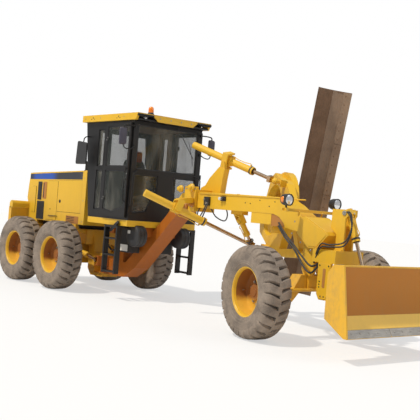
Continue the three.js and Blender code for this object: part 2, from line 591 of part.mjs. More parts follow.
// The door hangs outside the wall, on an upright axis just clear of its rear edge.
for (const [side, label] of [[1, 'left'], [-1, 'right']]) {
  const hinge = pivot(fore, `door_${label}_pivot`, v(DOOR_X[0], side * (CAB_HALF_WIDTH + DOOR_GAP), 0));
  const length = DOOR_X[1] - DOOR_X[0];
  const points = [[EDGE, DOOR_Z[0]], [length, DOOR_Z[0]], [length, DOOR_Z[1]], [EDGE, DOOR_Z[1]]];
  const panes = [
    [[55, RAIL_Z[1]], [length - 45, RAIL_Z[1]], [length - 45, 3170], [55, 3170]],
    [[55, 1640], [330, 1590], [length - 90, 1690], [length - 45, 1770], [length - 45, RAIL_Z[0]],
      [55, RAIL_Z[0]]],
  ];
  const y = side > 0 ? [0, DOOR_THICKNESS] : [-DOOR_THICKNESS, 0];
  const knuckles = HINGE_Z.map((z) => join(bar(v(0, 0, z), v(0, 0, z + KNUCKLE), HINGE_RADIUS, 12),
    block(0, EDGE + 10, Math.min(0, side * 8), Math.max(0, side * 8), z, z + KNUCKLE)));
  mesh(hinge, `door_${label}`, join(slab(points, y[0], y[1], panes), ...knuckles), COLOUR.black);
}

// seat, steering console, ladders and mirrors
mesh(fore, 'seat', join(block(-4850, -4350, -250, 250, CAB_FLOOR + SEAT + 150, CAB_FLOOR + 450),
  block(-4980, -4820, -250, 250, CAB_FLOOR + 300, CAB_FLOOR + 1150),
  block(-4750, -4450, -120, 120, CAB_FLOOR + SEAT, CAB_FLOOR + 170)), COLOUR.seat, 0.9);
mesh(fore, 'steering_console', join(block(-4080, -3960, -110, 110, CAB_FLOOR + SEAT, CAB_FLOOR + 720),
  strut(v(-4040, 0, CAB_FLOOR + 700), v(-4170, 0, CAB_FLOOR + 800), v(0, 1, 0), 300, 50)), COLOUR.black);

for (const [side, label] of [[1, 'left'], [-1, 'right']]) {
  const y0 = side > 0 ? 800 : -900;
  const rails = [-4400, -4010].map((x) => block(x, x + 40, y0, y0 + 100, 480, CAB_FLOOR - PLATFORM - SEAT));
  const rungs = [500, 800, 1100].map((z) => block(-4400, -3970, y0, y0 + 100, z, z + 30));
  const hanger = block(-4400, -3970, side > 0 ? 640 : -900, side > 0 ? 900 : -640,
      CAB_FLOOR - PLATFORM - 40, CAB_FLOOR - PLATFORM - SEAT);
  mesh(fore, `ladder_${label}`, join(...rails, ...rungs, hanger), COLOUR.black);
}

for (const [side, label] of [[1, 'left'], [-1, 'right']]) {
  const y = (distance) => side * distance;
  const ySpan = (a, b) => [Math.min(y(a), y(b)), Math.max(y(a), y(b))];
  const head = block(-3855, -3815, ...ySpan(940, 1100), 2800, 3120);
  const arm = join(bar(v(CAB_FRONT + 22, y(CAB_HALF_WIDTH - 30), 3165),
      v(CAB_FRONT + 22, y(1020), 3165), 14, 10),
    bar(v(CAB_FRONT + 22, y(1020), 3175), v(CAB_FRONT + 22, y(1020), 3100), 14, 10),
    block(CAB_FRONT + SEAT, CAB_FRONT + 34, ...ySpan(CAB_HALF_WIDTH - 50, CAB_HALF_WIDTH - 10), 3145,
        3185));
  mesh(fore, `mirror_${label}`, join(head, arm), COLOUR.black);
}

// lamps above the nose
const LAMP_Y = 525;
const LAMP_X = -150;
mesh(fore, 'lamp_bar', join(block(LAMP_X, LAMP_X + 70, -600, 600, 1840, 1890),
  block(LAMP_X, LAMP_X + 70, -60, 60, NOSE_TOP + SEAT, 1850),
  ...[-1, 1].flatMap((side) => [bar(v(LAMP_X - 60, side * LAMP_Y, 2010),
      v(LAMP_X + 80, side * LAMP_Y, 2010), 90, 20),
    block(LAMP_X, LAMP_X + 50, side * LAMP_Y - 25, side * LAMP_Y + 25, 1880, 1940)])), COLOUR.yellow);

// ---- drawbar, circle and moldboard -----------------------------------------------------------

const dip = rad(DRAWBAR_DIP);
const yaw = rad(DRAWBAR_YAW);
const roll = rad(DRAWBAR_ROLL);
const drawX = v(Math.cos(dip) * Math.cos(yaw), -Math.cos(dip) * Math.sin(yaw), -Math.sin(dip));
const plainUp = v(0, 0, 1).addScaledVector(drawX, -drawX.z).normalize();
const plainLeft = new THREE.Vector3().crossVectors(plainUp, drawX);
const drawY = plainLeft.clone().multiplyScalar(Math.cos(roll)).addScaledVector(plainUp, Math.sin(roll));
const drawZ = new THREE.Vector3().crossVectors(drawX, drawY);
const drawFrame = new THREE.Matrix4().makeBasis(drawX, drawY, drawZ);
const drawbarPoint = (x, y, z) => v(x, y, z).applyMatrix4(drawFrame).add(BALL);

const LIFT_BALL = v(-1750, 620, 250);
const DRAWBAR_LOW = -60;
const DRAWBAR_HIGH = 70;
const CIRCLE_Z = -120;

function drawbarGeometry() {
  const edge = [[-280, 80], [-1250, 510], [-1500, 600], [-1650, 645], [-1850, 645], [-1900, 570],
      [-2400, 570],
    [-2560, 430]];
  const points = [...edge, ...edge.map(([x, y]) => [x, -y]).reverse()];
  const throat = [[-560, 60], [-560, -60], [-1150, -330], [-1150, 330]];
  const eyeSides = 24;
  const eye = Array.from({ length: eyeSides }, (_, i) => {
    const angle = 2 * Math.PI * i / eyeSides;
    return [-CIRCLE_ARM + 450 * Math.cos(angle), 450 * Math.sin(angle)];
  });
  const body = plate(points, DRAWBAR_LOW, DRAWBAR_HIGH, [throat, eye]);
  const ball = new THREE.SphereGeometry(BALL_RADIUS, 14, 10);
  const neck = bar(v(-30, 0, 0), v(-330, 0, 0), 52, 16);
  const studs = [-1, 1].flatMap((side) => [
    block(LIFT_BALL.x - 70, LIFT_BALL.x + 70, side * LIFT_BALL.y - 60, side * LIFT_BALL.y + 60, 60, 170),
    bar(v(LIFT_BALL.x, side * LIFT_BALL.y, 160), v(LIFT_BALL.x, side * LIFT_BALL.y, 240), 32, 12),
    new THREE.SphereGeometry(55, 12, 8).translate(LIFT_BALL.x, side * LIFT_BALL.y, LIFT_BALL.z)]);
  const post = [bar(v(-1582, -560, DRAWBAR_HIGH - 10), v(-1582, -560, 374), 28, 12),
    new THREE.SphereGeometry(34, 12, 8).translate(-1582, -560, 374)];
  const drive = bar(v(-1330, 0, DRAWBAR_HIGH - 5), v(-1330, 0, DRAWBAR_HIGH + 190), 130, 20);
  return join(body, ball, neck, ...studs, ...post, drive);
}
const drawbar = pivot(fore, 'drawbar_pivot', BALL, drawFrame);
mesh(drawbar, 'drawbar', drawbarGeometry(), COLOUR.yellow);

const ring = (outer, inner, low, high, sides) => turned(
  [[inner, low], [outer, low], [outer, high], [inner, high], [inner, low]], sides).rotateX(Math.PI / 2);

const circle = pivot(drawbar, 'circle_pivot', v(-CIRCLE_ARM, 0, CIRCLE_Z),
    new THREE.Matrix4().makeRotationZ(rad(BLADE_TURN)));
const TIP_PIN = v(-400, 0, -720);
const ARM_Y = [400, 460];
function circleGeometry() {
  const band = ring(CIRCLE_RADIUS, CIRCLE_BORE, -50, DRAWBAR_LOW - CIRCLE_Z - SEAT, 48);
  const beam = block(-570, -420, -500, 500, -130, -45);
  const arm = [[-570, -60], [-420, -60], [-400, -300], [-380, -640], [-345, -720], [-370, -775],
      [-450, -775], [-520, -580]];
  const arms = [[-ARM_Y[1], -ARM_Y[0]], ARM_Y].map(([y0, y1]) => slab(arm, y0, y1));
  return join(band, beam, ...arms);
}
mesh(circle, 'circle', circleGeometry(), COLOUR.yellow);

const tip = pivot(circle, 'tip_pivot', TIP_PIN);
const TIP_FACE = -290;            // the tip bracket's front face, where the moldboard's rails slide
const bracketX = (x) => x - TIP_PIN.x;
const bracketZ = (z) => z - TIP_PIN.z;
mesh(tip, 'tip_bracket', join(
  block(bracketX(TIP_FACE - 35), bracketX(TIP_FACE), -520, 520, bracketZ(-700), bracketZ(-310)),
  block(-10, bracketX(TIP_FACE - 20), -ARM_Y[0] + 40, ARM_Y[0] - 40, -38, 38),
  bar(v(0, -ARM_Y[0] + SEAT, 0), v(0, ARM_Y[0] - SEAT, 0), 38, 16)), COLOUR.yellow);

function moldboardGeometry() {
  const top = [-110, -245];
  const low = [-90, -245 - BLADE_HEIGHT];
  const bulge = 115;
  const steps = 10;
  const face = Array.from({ length: steps + 1 }, (_, i) => {
    const t = i / steps;
    return [top[0] + (low[0] - top[0]) * t - bulge * 4 * t * (1 - t), top[1] + (low[1] - top[1]) * t];
  });
  const thick = 24;
  const back = face.map(([x, z]) => [x - thick, z]).reverse();
  const half = BLADE_LENGTH / 2;
  const skin = slab([...face, ...back], -half, half);
  const rails = [-370, -650].map((z) => block(TIP_FACE + SEAT, -210, -half + 60, half - 60, z - 22,
      z + 22));
  return join(skin, ...rails);
}
const shift = pivot(tip, 'side_shift_pivot', v(-TIP_PIN.x, BLADE_SHIFT, -TIP_PIN.z));
mesh(shift, 'moldboard', moldboardGeometry(), COLOUR.steel, 0.7, 0.6);

// ---- saddle and lift cylinders ---------------------------------------------------------------

const SADDLE_ARM = [700, 380];    // trunnion from the beam's middle, before the saddle is rolled
const BEAM_MIDDLE = (BEAM_TOP + BEAM_BOTTOM) / 2;
function trunnionPoint(side) {
  const angle = rad(SADDLE_ROLL);
  const [y, z] = [side * SADDLE_ARM[0], SADDLE_ARM[1]];
  return v(TRUNNION_X, y * Math.cos(angle) - z * Math.sin(angle),
    BEAM_MIDDLE + y * Math.sin(angle) + z * Math.cos(angle));
}

const LIFT_BEHIND = { left: 860, right: 600 };
const LIFT = { barrelRadius: 62, rodRadius: 32, barrelEnd: 560, gap: 78, pinHalf: 118, pinRadius: 30,
  collar: 70, retract: 440, eye: 40, eyeHalf: 52 };
const saddleParts = [];
const half = BEAM_WIDTH / 2 + SEAT;
saddleParts.push(cut(block(...SADDLE_X, -half - 55, half + 55, BEAM_BOTTOM - 65, BEAM_TOP + 70),
  block(SADDLE_X[0] - 10, SADDLE_X[1] + 10, -half, half, BEAM_BOTTOM - SEAT, BEAM_TOP + SEAT)));
const post = [[-2980, 2150], [-2980, 2060], [-2440, 2060], [-2400, 2350], [-2370, 2500], [-2520, 2530],
  [-2760, 2330], [-2860, 2200]];
saddleParts.push(slab(post, half - 20, half + 95));

for (const [side, label] of [[1, 'left'], [-1, 'right']]) {
  const base = trunnionPoint(side);
  const ball = drawbarPoint(LIFT_BALL.x, side * LIFT_BALL.y, LIFT_BALL.z);
  const frame = cylinder(fore, `lift_cylinder_${label}`,
    { ...LIFT, behind: LIFT_BEHIND[label], base, tip: ball, hinge: SWING });
  const local = (x, y, z) => v(x, y, z).applyMatrix4(frame).add(base);
  const third = v(0, 0, 1).transformDirection(frame);
  const inward = new THREE.Vector3().subVectors(v(TRUNNION_X, 0, BEAM_MIDDLE), base);
  const toward = Math.sign(third.dot(inward));
  const cheek = LIFT.pinHalf + SEAT;
  const shape = (geometry) => geometry.applyMatrix4(frame).translate(base.x, base.y, base.z);
  const zSpan = (a, b) => [Math.min(toward * a, toward * b), Math.max(toward * a, toward * b)];
  saddleParts.push(shape(block(-55, 55, cheek, cheek + 30, ...zSpan(-50, 150))));
  saddleParts.push(shape(block(-55, 55, -cheek - 30, -cheek, ...zSpan(-50, 150))));
  saddleParts.push(shape(block(-55, 55, -cheek - 30, cheek + 30, ...zSpan(120, 150))));
  const root = side > 0 ? v(TRUNNION_X, half + 50, 2400) : v(SADDLE_X[1] - 100, -half - 62, BEAM_MIDDLE);
  const end = local(0, 0, toward * 135);
  saddleParts.push(strut(root, end, v(1, 0, 0), side > 0 ? 70 : 130, side > 0 ? 60 : 90));
}
mesh(fore, 'saddle', join(...saddleParts), COLOUR.yellow);

cylinder(fore, 'centre_shift_cylinder', CENTRE);

for (const [side, label] of [[1, 'left'], [-1, 'right']]) {
  cylinder(rear, `articulation_cylinder_${label}`, articulationSpec(side));
}

// ---- front dozer blade ---------------------------------------------------------------------------

const MOUNT_X = 250;
const DOZER_PIN = v(470, 0, 740);
const TOWER_PIN = v(630, 0, 1880);
const ARM_TUBE = v(990, 0, 1010);      // cross tube that the lift cylinder pushes
function dozerMount() {
  const body = block(MOUNT_X, 690, -300, 300, 1150, 1335 - SEAT);
  const cheeks = [-1, 1].map((side) => slab([[380, 1250], [380, 700], [430, 620], [560, 620],
      [620, 700], [620, 1250]],
    side > 0 ? 262 : -300, side > 0 ? 300 : -262));
  const towers = [-1, 1].map((side) => slab([[500, 1300], [650, 1300],
    [650, 1800], [TOWER_PIN.x + 55, 1840], [TOWER_PIN.x + 55, 1930], [400, 1930], [390, 1660], [500, 1560]],
    side > 0 ? 78 : -108, side > 0 ? 108 : -78));
  const pins = [-1, 1].map((side) => bar(v(DOZER_PIN.x, side * 270, DOZER_PIN.z),
      v(DOZER_PIN.x, side * (230 + SEAT), DOZER_PIN.z), 40, 16));
  return join(body, ...cheeks, ...towers, ...pins);
}
mesh(fore, 'dozer_mount', dozerMount(), COLOUR.yellow);

const dozer = pivot(fore, 'dozer_pivot', DOZER_PIN);
const dx = (x) => x - DOZER_PIN.x;
const dz = (z) => z - DOZER_PIN.z;
function dozerArms() {
  const side = [[400, 700], [460, 640], [1480, 480], [1480, 1020], [1120, 1040], [1030, 1075],
      [940, 1070], [760, 900],
    [410, 790]].map(([x, z]) => [dx(x), dz(z)]);
  const plates = [[170, 230], [-230, -170]].map(([y0, y1]) => slab(side, y0, y1));
  const tube = bar(v(dx(ARM_TUBE.x), -200, dz(ARM_TUBE.z)), v(dx(ARM_TUBE.x), 200, dz(ARM_TUBE.z)), 34, 16);
  const back = block(dx(1440), dx(1480), -600, 600, dz(480), dz(1020));
  return join(...plates, tube, back);
}
mesh(dozer, 'dozer_arms', dozerArms(), COLOUR.yellow);

function dozerBlade() {
  const steps = 8;
  const face = Array.from({ length: steps + 1 }, (_, i) => {
    const t = i / steps;
    const z = DOZER_TOP + (DOZER_BOTTOM - DOZER_TOP) * t;
    return [1710 + 150 * t - 190 * 4 * t * (1 - t) * 0.75, z];
  });
  const back = face.map(([x, z]) => [x - 22, z]).reverse();
  const half = DOZER_WIDTH / 2;
  const skin = slab([...face, ...back], -half, half);
  const ends = [-1, 1].map((side) => slab([[1470, DOZER_TOP - 120], [1560, DOZER_TOP], [1730, DOZER_TOP],
    [DOZER_FRONT, DOZER_BOTTOM], [1800, DOZER_BOTTOM], [1470, DOZER_BOTTOM + 200]],
  side > 0 ? half - 25 : -half, side > 0 ? half : -half + 25));
  const rib = block(1480 + SEAT, 1660, -half + 10, half - 10, 640, 700);
  const ribTop = block(1480 + SEAT, 1628, -half + 10, half - 10, 980, 1020);
  return join(skin, ...ends, rib, ribTop).translate(-DOZER_PIN.x, 0, -DOZER_PIN.z);
}
mesh(dozer, 'dozer_blade', dozerBlade(), COLOUR.yellow);

const DOZER_CYLINDER = { barrelRadius: 50, rodRadius: 26, behind: 60, barrelEnd: 430, gap: 80,
    pinHalf: 78 - SEAT, pinRadius: 25,
  collar: 36, retract: 240, eye: 40, eyeHalf: 36 };
cylinder(fore, 'dozer_cylinder', { ...DOZER_CYLINDER, base: TOWER_PIN, tip: ARM_TUBE,
  hinge: { centre: DOZER_PIN, axis: v(0, -1, 0) } });

// ---- origin under the middle of the machine ------------------------------------------------------

machine.updateMatrixWorld(true);
const box = new THREE.Box3().setFromObject(machine, true);
machine.position.set(-(box.min.x + box.max.x) / 2, -(box.min.y + box.max.y) / 2, -box.min.z);
machine.updateMatrixWorld(true);

export default machine;
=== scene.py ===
# %% [markdown]
# # A motor grader around its CAD frame
#
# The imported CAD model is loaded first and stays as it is. Every visible detail is then built around it:
# treaded tyres, dished rims, a curved moldboard, glass, lamps, a trimmed seat and hoses. The places of all
# these come from the CAD nodes, so nothing has to be fitted by eye.

# %% Load the frame
import json
import math

import bmesh
import bpy
import numpy as np
from mathutils import Matrix, Vector


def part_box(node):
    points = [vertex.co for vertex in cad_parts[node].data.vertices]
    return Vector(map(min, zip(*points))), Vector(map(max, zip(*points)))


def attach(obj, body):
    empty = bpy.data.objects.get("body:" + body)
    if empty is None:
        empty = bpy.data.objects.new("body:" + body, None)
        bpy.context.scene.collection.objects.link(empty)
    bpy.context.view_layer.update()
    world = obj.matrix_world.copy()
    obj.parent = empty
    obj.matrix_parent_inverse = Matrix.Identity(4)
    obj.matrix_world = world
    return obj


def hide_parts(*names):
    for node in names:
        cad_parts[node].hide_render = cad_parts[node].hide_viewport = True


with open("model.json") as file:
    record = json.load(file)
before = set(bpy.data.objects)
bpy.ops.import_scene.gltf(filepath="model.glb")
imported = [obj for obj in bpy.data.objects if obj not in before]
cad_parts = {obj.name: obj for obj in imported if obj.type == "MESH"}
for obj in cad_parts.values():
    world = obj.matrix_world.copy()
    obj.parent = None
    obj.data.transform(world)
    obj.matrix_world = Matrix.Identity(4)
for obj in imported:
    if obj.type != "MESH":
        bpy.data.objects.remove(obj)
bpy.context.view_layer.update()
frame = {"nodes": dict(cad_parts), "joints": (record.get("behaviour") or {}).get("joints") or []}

# %% [markdown]
# ## Where things are
#
# A machine is easiest to lay out from its own axle: x forward from the front axle, y to the left of the
# centre plane and z up from the ground. `HOME` is that point in the frame's coordinates, read from the front
# axle's box, and every shape below is computed in machine coordinates and moved by `HOME` at the end.

# %% Machine coordinates
axle_low, axle_high = (np.array(corner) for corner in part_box("front_axle"))
AXLE_BEHIND = 0.09  # the axle beam's rear face lies this far behind the axle's own line
HOME = np.array([axle_low[0] + AXLE_BEHIND, (axle_low[1] + axle_high[1]) / 2, 0.0])
JOINTS = {joint["name"]: joint for joint in frame["joints"]}
print("front axle at", HOME)


def axes_frame(origin, x_axis, y_axis):
    """A 4x4 matrix whose columns are two given directions, their cross product and an origin."""
    x_axis, y_axis = (np.array(a, float) / np.linalg.norm(a) for a in (x_axis, y_axis))
    matrix = np.eye(4)
    matrix[:3, 0], matrix[:3, 1], matrix[:3, 2] = x_axis, y_axis, np.cross(x_axis, y_axis)
    matrix[:3, 3] = origin
    return matrix


def joint_place(name):
    """A joint's point, in machine coordinates."""
    return np.array(JOINTS[name]["pos_m"]) - HOME


# %% [markdown]
# ## Surfaces from arrays
#
# A shape is an array of points on a grid of two parameters, and its faces follow from the grid's size. A
# small class gathers several such surfaces into one mesh, so that a lamp or a bolted plate is one piece.

# %% The piece builder
class Piece:
    """Gathers closed surfaces, each with its finish, and makes them one mesh."""

    def __init__(self, name, place=None):
        self.name, self.place = name, np.eye(4) if place is None else place
        self.points, self.faces, self.finishes, self.slots, self.count = [], [], [], [], 0
        self.finish = None

    def use(self, finish):
        """The surfaces that follow get this finish."""
        self.finish = finish
        if finish not in self.slots:
            self.slots.append(finish)
        return self

    def add(self, points, faces, place=None):
        points = np.asarray(points, float).reshape(-1, 3)
        if place is not None:
            points = points @ place[:3, :3].T + place[:3, 3]
        self.points.append(points)
        self.faces += [tuple(int(i) + self.count for i in face) for face in faces]
        self.finishes += [self.slots.index(self.finish)] * len(faces)
        self.count += len(points)
        return self

    def grid(self, points, wrap_u=False, wrap_v=False, caps=False, place=None):
        """points[i, j] lies at the grid's i and j; wrapped directions join their ends, and caps close a tube."""
        points = np.asarray(points, float)
        nu, nv = points.shape[:2]
        i, j = np.meshgrid(np.arange(nu if wrap_u else nu - 1), np.arange(nv if wrap_v else nv - 1), indexing="ij")
        i2, j2 = (i + 1) % nu, (j + 1) % nv
        quads = np.stack([i * nv + j, i2 * nv + j, i2 * nv + j2, i * nv + j2], -1).reshape(-1, 4)
        faces = [tuple(q) for q in quads]
        if caps:
            faces += [tuple(range(nv)), tuple(range((nu - 1) * nv, nu * nv))[::-1]]
        return self.add(points.reshape(-1, 3), faces, place)

    def lathe(self, profile, segments=48, place=None, closed=False):
        """A profile of (radius, height) carried round the local Z axis; ends at radius 0 close by themselves."""
        profile = np.asarray(profile, float)
        turn = np.linspace(0, 2 * np.pi, segments, endpoint=False)[:, None]
        r, h = np.maximum(profile[:, 0], 1e-5)[None], profile[:, 1][None]
        points = np.stack([np.cos(turn) * r, np.sin(turn) * r, h + 0 * turn], -1)
        return self.grid(points, wrap_u=True, wrap_v=closed, place=place)

    def prism(self, outline, low, high, place=None, plane="xy"):
        """A flat outline carried from low to high across its plane."""
        outline = np.asarray(outline, float)
        area = np.sum(outline[:, 0] * np.roll(outline[:, 1], -1) - np.roll(outline[:, 0], -1) * outline[:, 1])
        outline = outline if area > 0 else outline[::-1]
        order = {"xy": (0, 1, 2), "yz": (2, 0, 1), "xz": (0, 2, 1)}[plane]
        rings = []
        for height in ((low, high) if plane != "xz" else (high, low)):
            ring = np.column_stack([outline, np.full(len(outline), height)])
            rings.append(ring[:, order])
        count = len(outline)
        sides = [(k, (k + 1) % count, count + (k + 1) % count, count + k) for k in range(count)]
        faces = sides + [tuple(range(count))[::-1], tuple(range(count, 2 * count))]
        return self.add(np.vstack(rings), faces, place)

    def box(self, low, high, place=None):
        (x0, y0, z0), (x1, y1, z1) = low, high
        return self.prism([(x0, y0), (x1, y0), (x1, y1), (x0, y1)], z0, z1, place)

    def tube(self, path, radius, sides=12, caps=True, place=None):
        """A round section carried along a path; its axes are turned as little as possible from point to point."""
        path = np.asarray(path, float)
        tangent = np.gradient(path, axis=0)
        tangent /= np.linalg.norm(tangent, axis=1)[:, None]
        normal = np.cross(tangent[0], [0.31, 0.17, 0.93])
        normals = []
        for t in tangent:
            normal = normal - t * (normal @ t)
            normal = normal / np.linalg.norm(normal)
            normals.append(normal)
        normals = np.array(normals)
        binormals = np.cross(tangent, normals)
        turn = -np.linspace(0, 2 * np.pi, sides, endpoint=False)
        radius = np.broadcast_to(np.asarray(radius, float), (len(path),))[:, None, None]
        ring = normals[:, None] * np.cos(turn)[None, :, None] + binormals[:, None] * np.sin(turn)[None, :, None]
        return self.grid(path[:, None] + radius * ring, wrap_v=True, caps=caps, place=place)

    def rod(self, start, end, radius, sides=16, chamfer=0.003, place=None):
        """A round bar with small chamfers at its ends."""
        start, end = np.array(start, float), np.array(end, float)
        along = (end - start) / np.linalg.norm(end - start)
        chamfer = min(chamfer, 0.3 * radius)
        path = [start, start + along * chamfer, end - along * chamfer, end]
        return self.tube(path, [radius - chamfer, radius, radius, radius - chamfer], sides, place=place)

    def bolts(self, centres, out, radius=0.014, height=0.012, place=None):
        """Six-sided heads on washers at the given places, all facing out."""
        out = np.array(out, float) / np.linalg.norm(out)
        side = np.cross(out, [0, 0, 1] if abs(out[2]) < 0.9 else [1, 0, 0])
        seat = axes_frame((0, 0, 0), side, np.cross(out, side))
        for centre in centres:
            seat[:3, 3] = centre
            spot = seat if place is None else place @ seat
            self.lathe([(0, 0), (radius * 1.45, 0), (radius * 1.45, height * 0.22), (0, height * 0.22)], 12, spot)
            self.lathe([(0, 0), (radius, 0), (radius, height * 0.85), (radius * 0.85, height), (0, height)], 6, spot)
        return self

    def make(self, body, slot, replaces=(), bevel=0.0, smooth=40, segments=2):
        """One mesh at the origin, with outward faces, its finishes, and an optional bevel."""
        mesh = bpy.data.meshes.new(self.name)
        points = np.vstack(self.points) @ self.place[:3, :3].T + self.place[:3, 3] + HOME
        mesh.from_pydata(points.tolist(), [], self.faces)
        for finish in self.slots:
            mesh.materials.append(finish)
        mesh.polygons.foreach_set("material_index", self.finishes)
        tidy = bmesh.new()
        tidy.from_mesh(mesh)
        bmesh.ops.remove_doubles(tidy, verts=tidy.verts, dist=2e-5)
        bmesh.ops.dissolve_degenerate(tidy, edges=tidy.edges, dist=1e-6)
        bmesh.ops.recalc_face_normals(tidy, faces=tidy.faces)
        tidy.to_mesh(mesh)
        tidy.free()
        mesh.shade_smooth()
        piece = bpy.data.objects.new(self.name, mesh)
        bpy.context.scene.collection.objects.link(piece)
        if bevel:
            soft = piece.modifiers.new("Edges", "BEVEL")
            soft.width, soft.segments, soft.limit_method, soft.angle_limit = bevel, segments, "ANGLE", math.radians(35)
        mesh.set_sharp_from_angle(angle=math.radians(smooth))
        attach(piece, body)
        if replaces:
            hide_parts(*([replaces] if isinstance(replaces, str) else replaces))
        print(f"{self.name}: {len(mesh.polygons)} faces on {body}")
        return piece


def curve_through(points, count=24):
    """A smooth line through given points: a Catmull-Rom spline, sampled evenly in its parameter."""
    points = np.asarray(points, float)
    padded = np.vstack([2 * points[0] - points[1], points, 2 * points[-1] - points[-2]])
    t = np.linspace(0, len(points) - 1 - 1e-9, count)
    k = t.astype(int)
    f = (t - k)[:, None]
    a, b, c, d = (padded[k + n] for n in range(4))
    return 0.5 * (2 * b + (c - a) * f + (2 * a - 5 * b + 4 * c - d) * f ** 2 + (3 * b - a - 3 * c + d) * f ** 3)


def arc(centre, radius, start, end, count):
    """Points on a circle from one angle to another, in degrees."""
    angle = np.radians(np.linspace(start, end, count))
    return np.column_stack([centre[0] + radius * np.cos(angle), centre[1] + radius * np.sin(angle)])


def rounded(points, radius, steps=4):
    """An outline whose corners are cut by short arcs (quadratic curves through the corner's two sides)."""
    points = np.asarray(points, float)
    found = []
    for k, corner in enumerate(points):
        before, after = points[k - 1] - corner, points[(k + 1) % len(points)] - corner
        reach = min(radius, 0.45 * np.linalg.norm(before), 0.45 * np.linalg.norm(after))
        a = corner + before / np.linalg.norm(before) * reach
        b = corner + after / np.linalg.norm(after) * reach
        t = np.linspace(0, 1, steps + 1)[:, None]
        found.append((1 - t) ** 2 * a + 2 * t * (1 - t) * corner + t ** 2 * b)
    return np.vstack(found)


# %% [markdown]
# ## Shader maths as plain expressions
#
# A procedural finish is a sum of masks. Writing `1 - wear * noise` is easier to read than a page of linked
# nodes, so a small class wraps a socket and lets Python's operators add the Math nodes. Every other node
# comes from one method, which sets its settings first and then fills its inputs.

# %% The socket class and the finish builder
class Field:
    """A number that varies over the surface: a socket with arithmetic."""

    def __init__(self, finish, socket):
        self.finish, self.socket = finish, socket

    def _math(self, operation, first, second=None, clamp=False):
        inputs = {0: first} if second is None else {0: first, 1: second}
        return self.finish.node("Math", {"operation": operation, "use_clamp": clamp}, inputs)

    def __add__(self, other): return self._math("ADD", self, other)
    def __radd__(self, other): return self._math("ADD", other, self)
    def __sub__(self, other): return self._math("SUBTRACT", self, other)
    def __rsub__(self, other): return self._math("SUBTRACT", other, self)
    def __mul__(self, other): return self._math("MULTIPLY", self, other)
    def __rmul__(self, other): return self._math("MULTIPLY", other, self)
    def __truediv__(self, other): return self._math("DIVIDE", self, other)
    def __pow__(self, other): return self._math("POWER", self, other)
    def clamp(self): return self._math("ADD", self, 0.0, clamp=True)
    def above(self, level): return self._math("GREATER_THAN", self, level)


class Finish:
    """A material with one Principled shader; colours are (r, g, b) in linear light."""

    def __init__(self, name, **fixed):
        self.material = bpy.data.materials.new(name)
        self.material.use_nodes = True
        self.nodes, self.links = self.material.node_tree.nodes, self.material.node_tree.links
        self.nodes.clear()
        self.output = self.nodes.new("ShaderNodeOutputMaterial")
        self.shader = self.nodes.new("ShaderNodeBsdfPrincipled")
        self.links.new(self.shader.outputs[0], self.output.inputs[0])
        for label, value in fixed.items():
            self.fill(self.shader.inputs[label.replace("_", " ").title().replace("Ior", "IOR")], value)

    def fill(self, socket, value):
        if isinstance(value, Field):
            self.links.new(value.socket, socket)
        elif isinstance(value, tuple) and socket.type == "RGBA":
            socket.default_value = (*value[:3], 1.0)
        else:
            socket.default_value = value

    def node(self, kind, settings=None, inputs=None, output=0):
        node = self.nodes.new("ShaderNode" + kind)
        for label, value in (settings or {}).items():
            if label == "stops":
                ramp = node.color_ramp
                while len(ramp.elements) < len(value):
                    ramp.elements.new(0.5)
                for element, (place, colour) in zip(ramp.elements, value):
                    element.position, element.color = place, (*colour, 1.0)
            else:
                setattr(node, label, value)
        for label, value in (inputs or {}).items():
            self.fill(node.inputs[label], value)
        return Field(self, node.outputs[output])

    def place(self):
        return self.node("TexCoord", output="Object")

    def height(self):
        """Height above the ground, in metres."""
        return self.node("SeparateXYZ", inputs={0: self.place()}, output=2)

    def noise(self, scale, detail=4.0, rough=0.55, stretch=None):
        spot = self.place()
        if stretch:
            spot = self.node("Mapping", inputs={"Vector": spot, "Scale": stretch})
        return self.node("TexNoise", inputs={"Vector": spot, "Scale": scale, "Detail": detail, "Roughness": rough})

    def ramp(self, value, low, high):
        """0 below low, 1 above high."""
        return self.node("MapRange", {"interpolation_type": "SMOOTHSTEP"},
                         {"Value": value, "From Min": low, "From Max": high})

    def mix(self, first, second, factor):
        node = self.nodes.new("ShaderNodeMix")
        node.data_type = "RGBA"
        for index, value in ((0, factor), (6, first), (7, second)):
            self.fill(node.inputs[index], value)
        return Field(self, node.outputs[2])

    def edges(self, radius, gain):
        """1 along convex and concave edges: where a rounded normal leaves the true one."""
        soft = self.node("Bevel", {"samples": 4}, {"Radius": radius})
        true = self.node("NewGeometry", output="Normal")
        same = self.node("VectorMath", {"operation": "DOT_PRODUCT"}, {0: soft, 1: true}, output="Value")
        return ((1 - same) * gain).clamp()

    def bump(self, height, distance, strength=1.0, radius=0.0):
        inputs = {"Height": height, "Distance": distance, "Strength": strength}
        if radius:
            inputs["Normal"] = self.node("Bevel", {"samples": 4}, {"Radius": radius})
        return self.node("Bump", inputs=inputs)

    def set(self, **values):
        names = {"colour": "Base Color", "roughness": "Roughness", "metallic": "Metallic", "normal": "Normal",
                 "alpha": "Alpha", "coat": "Coat Weight"}
        for label, value in values.items():
            self.fill(self.shader.inputs[names[label]], value)
        return self.material
# %% [markdown]
# ## Finishes
#
# Enamel on a working machine is not one colour. It fades and gathers dust low down, its edges wear to a
# paler tone, and its gloss breaks up where dust lies. All of this is noise and height masks feeding the
# colour and the roughness, with a fine orange-peel bump and edges that catch light as if rounded.

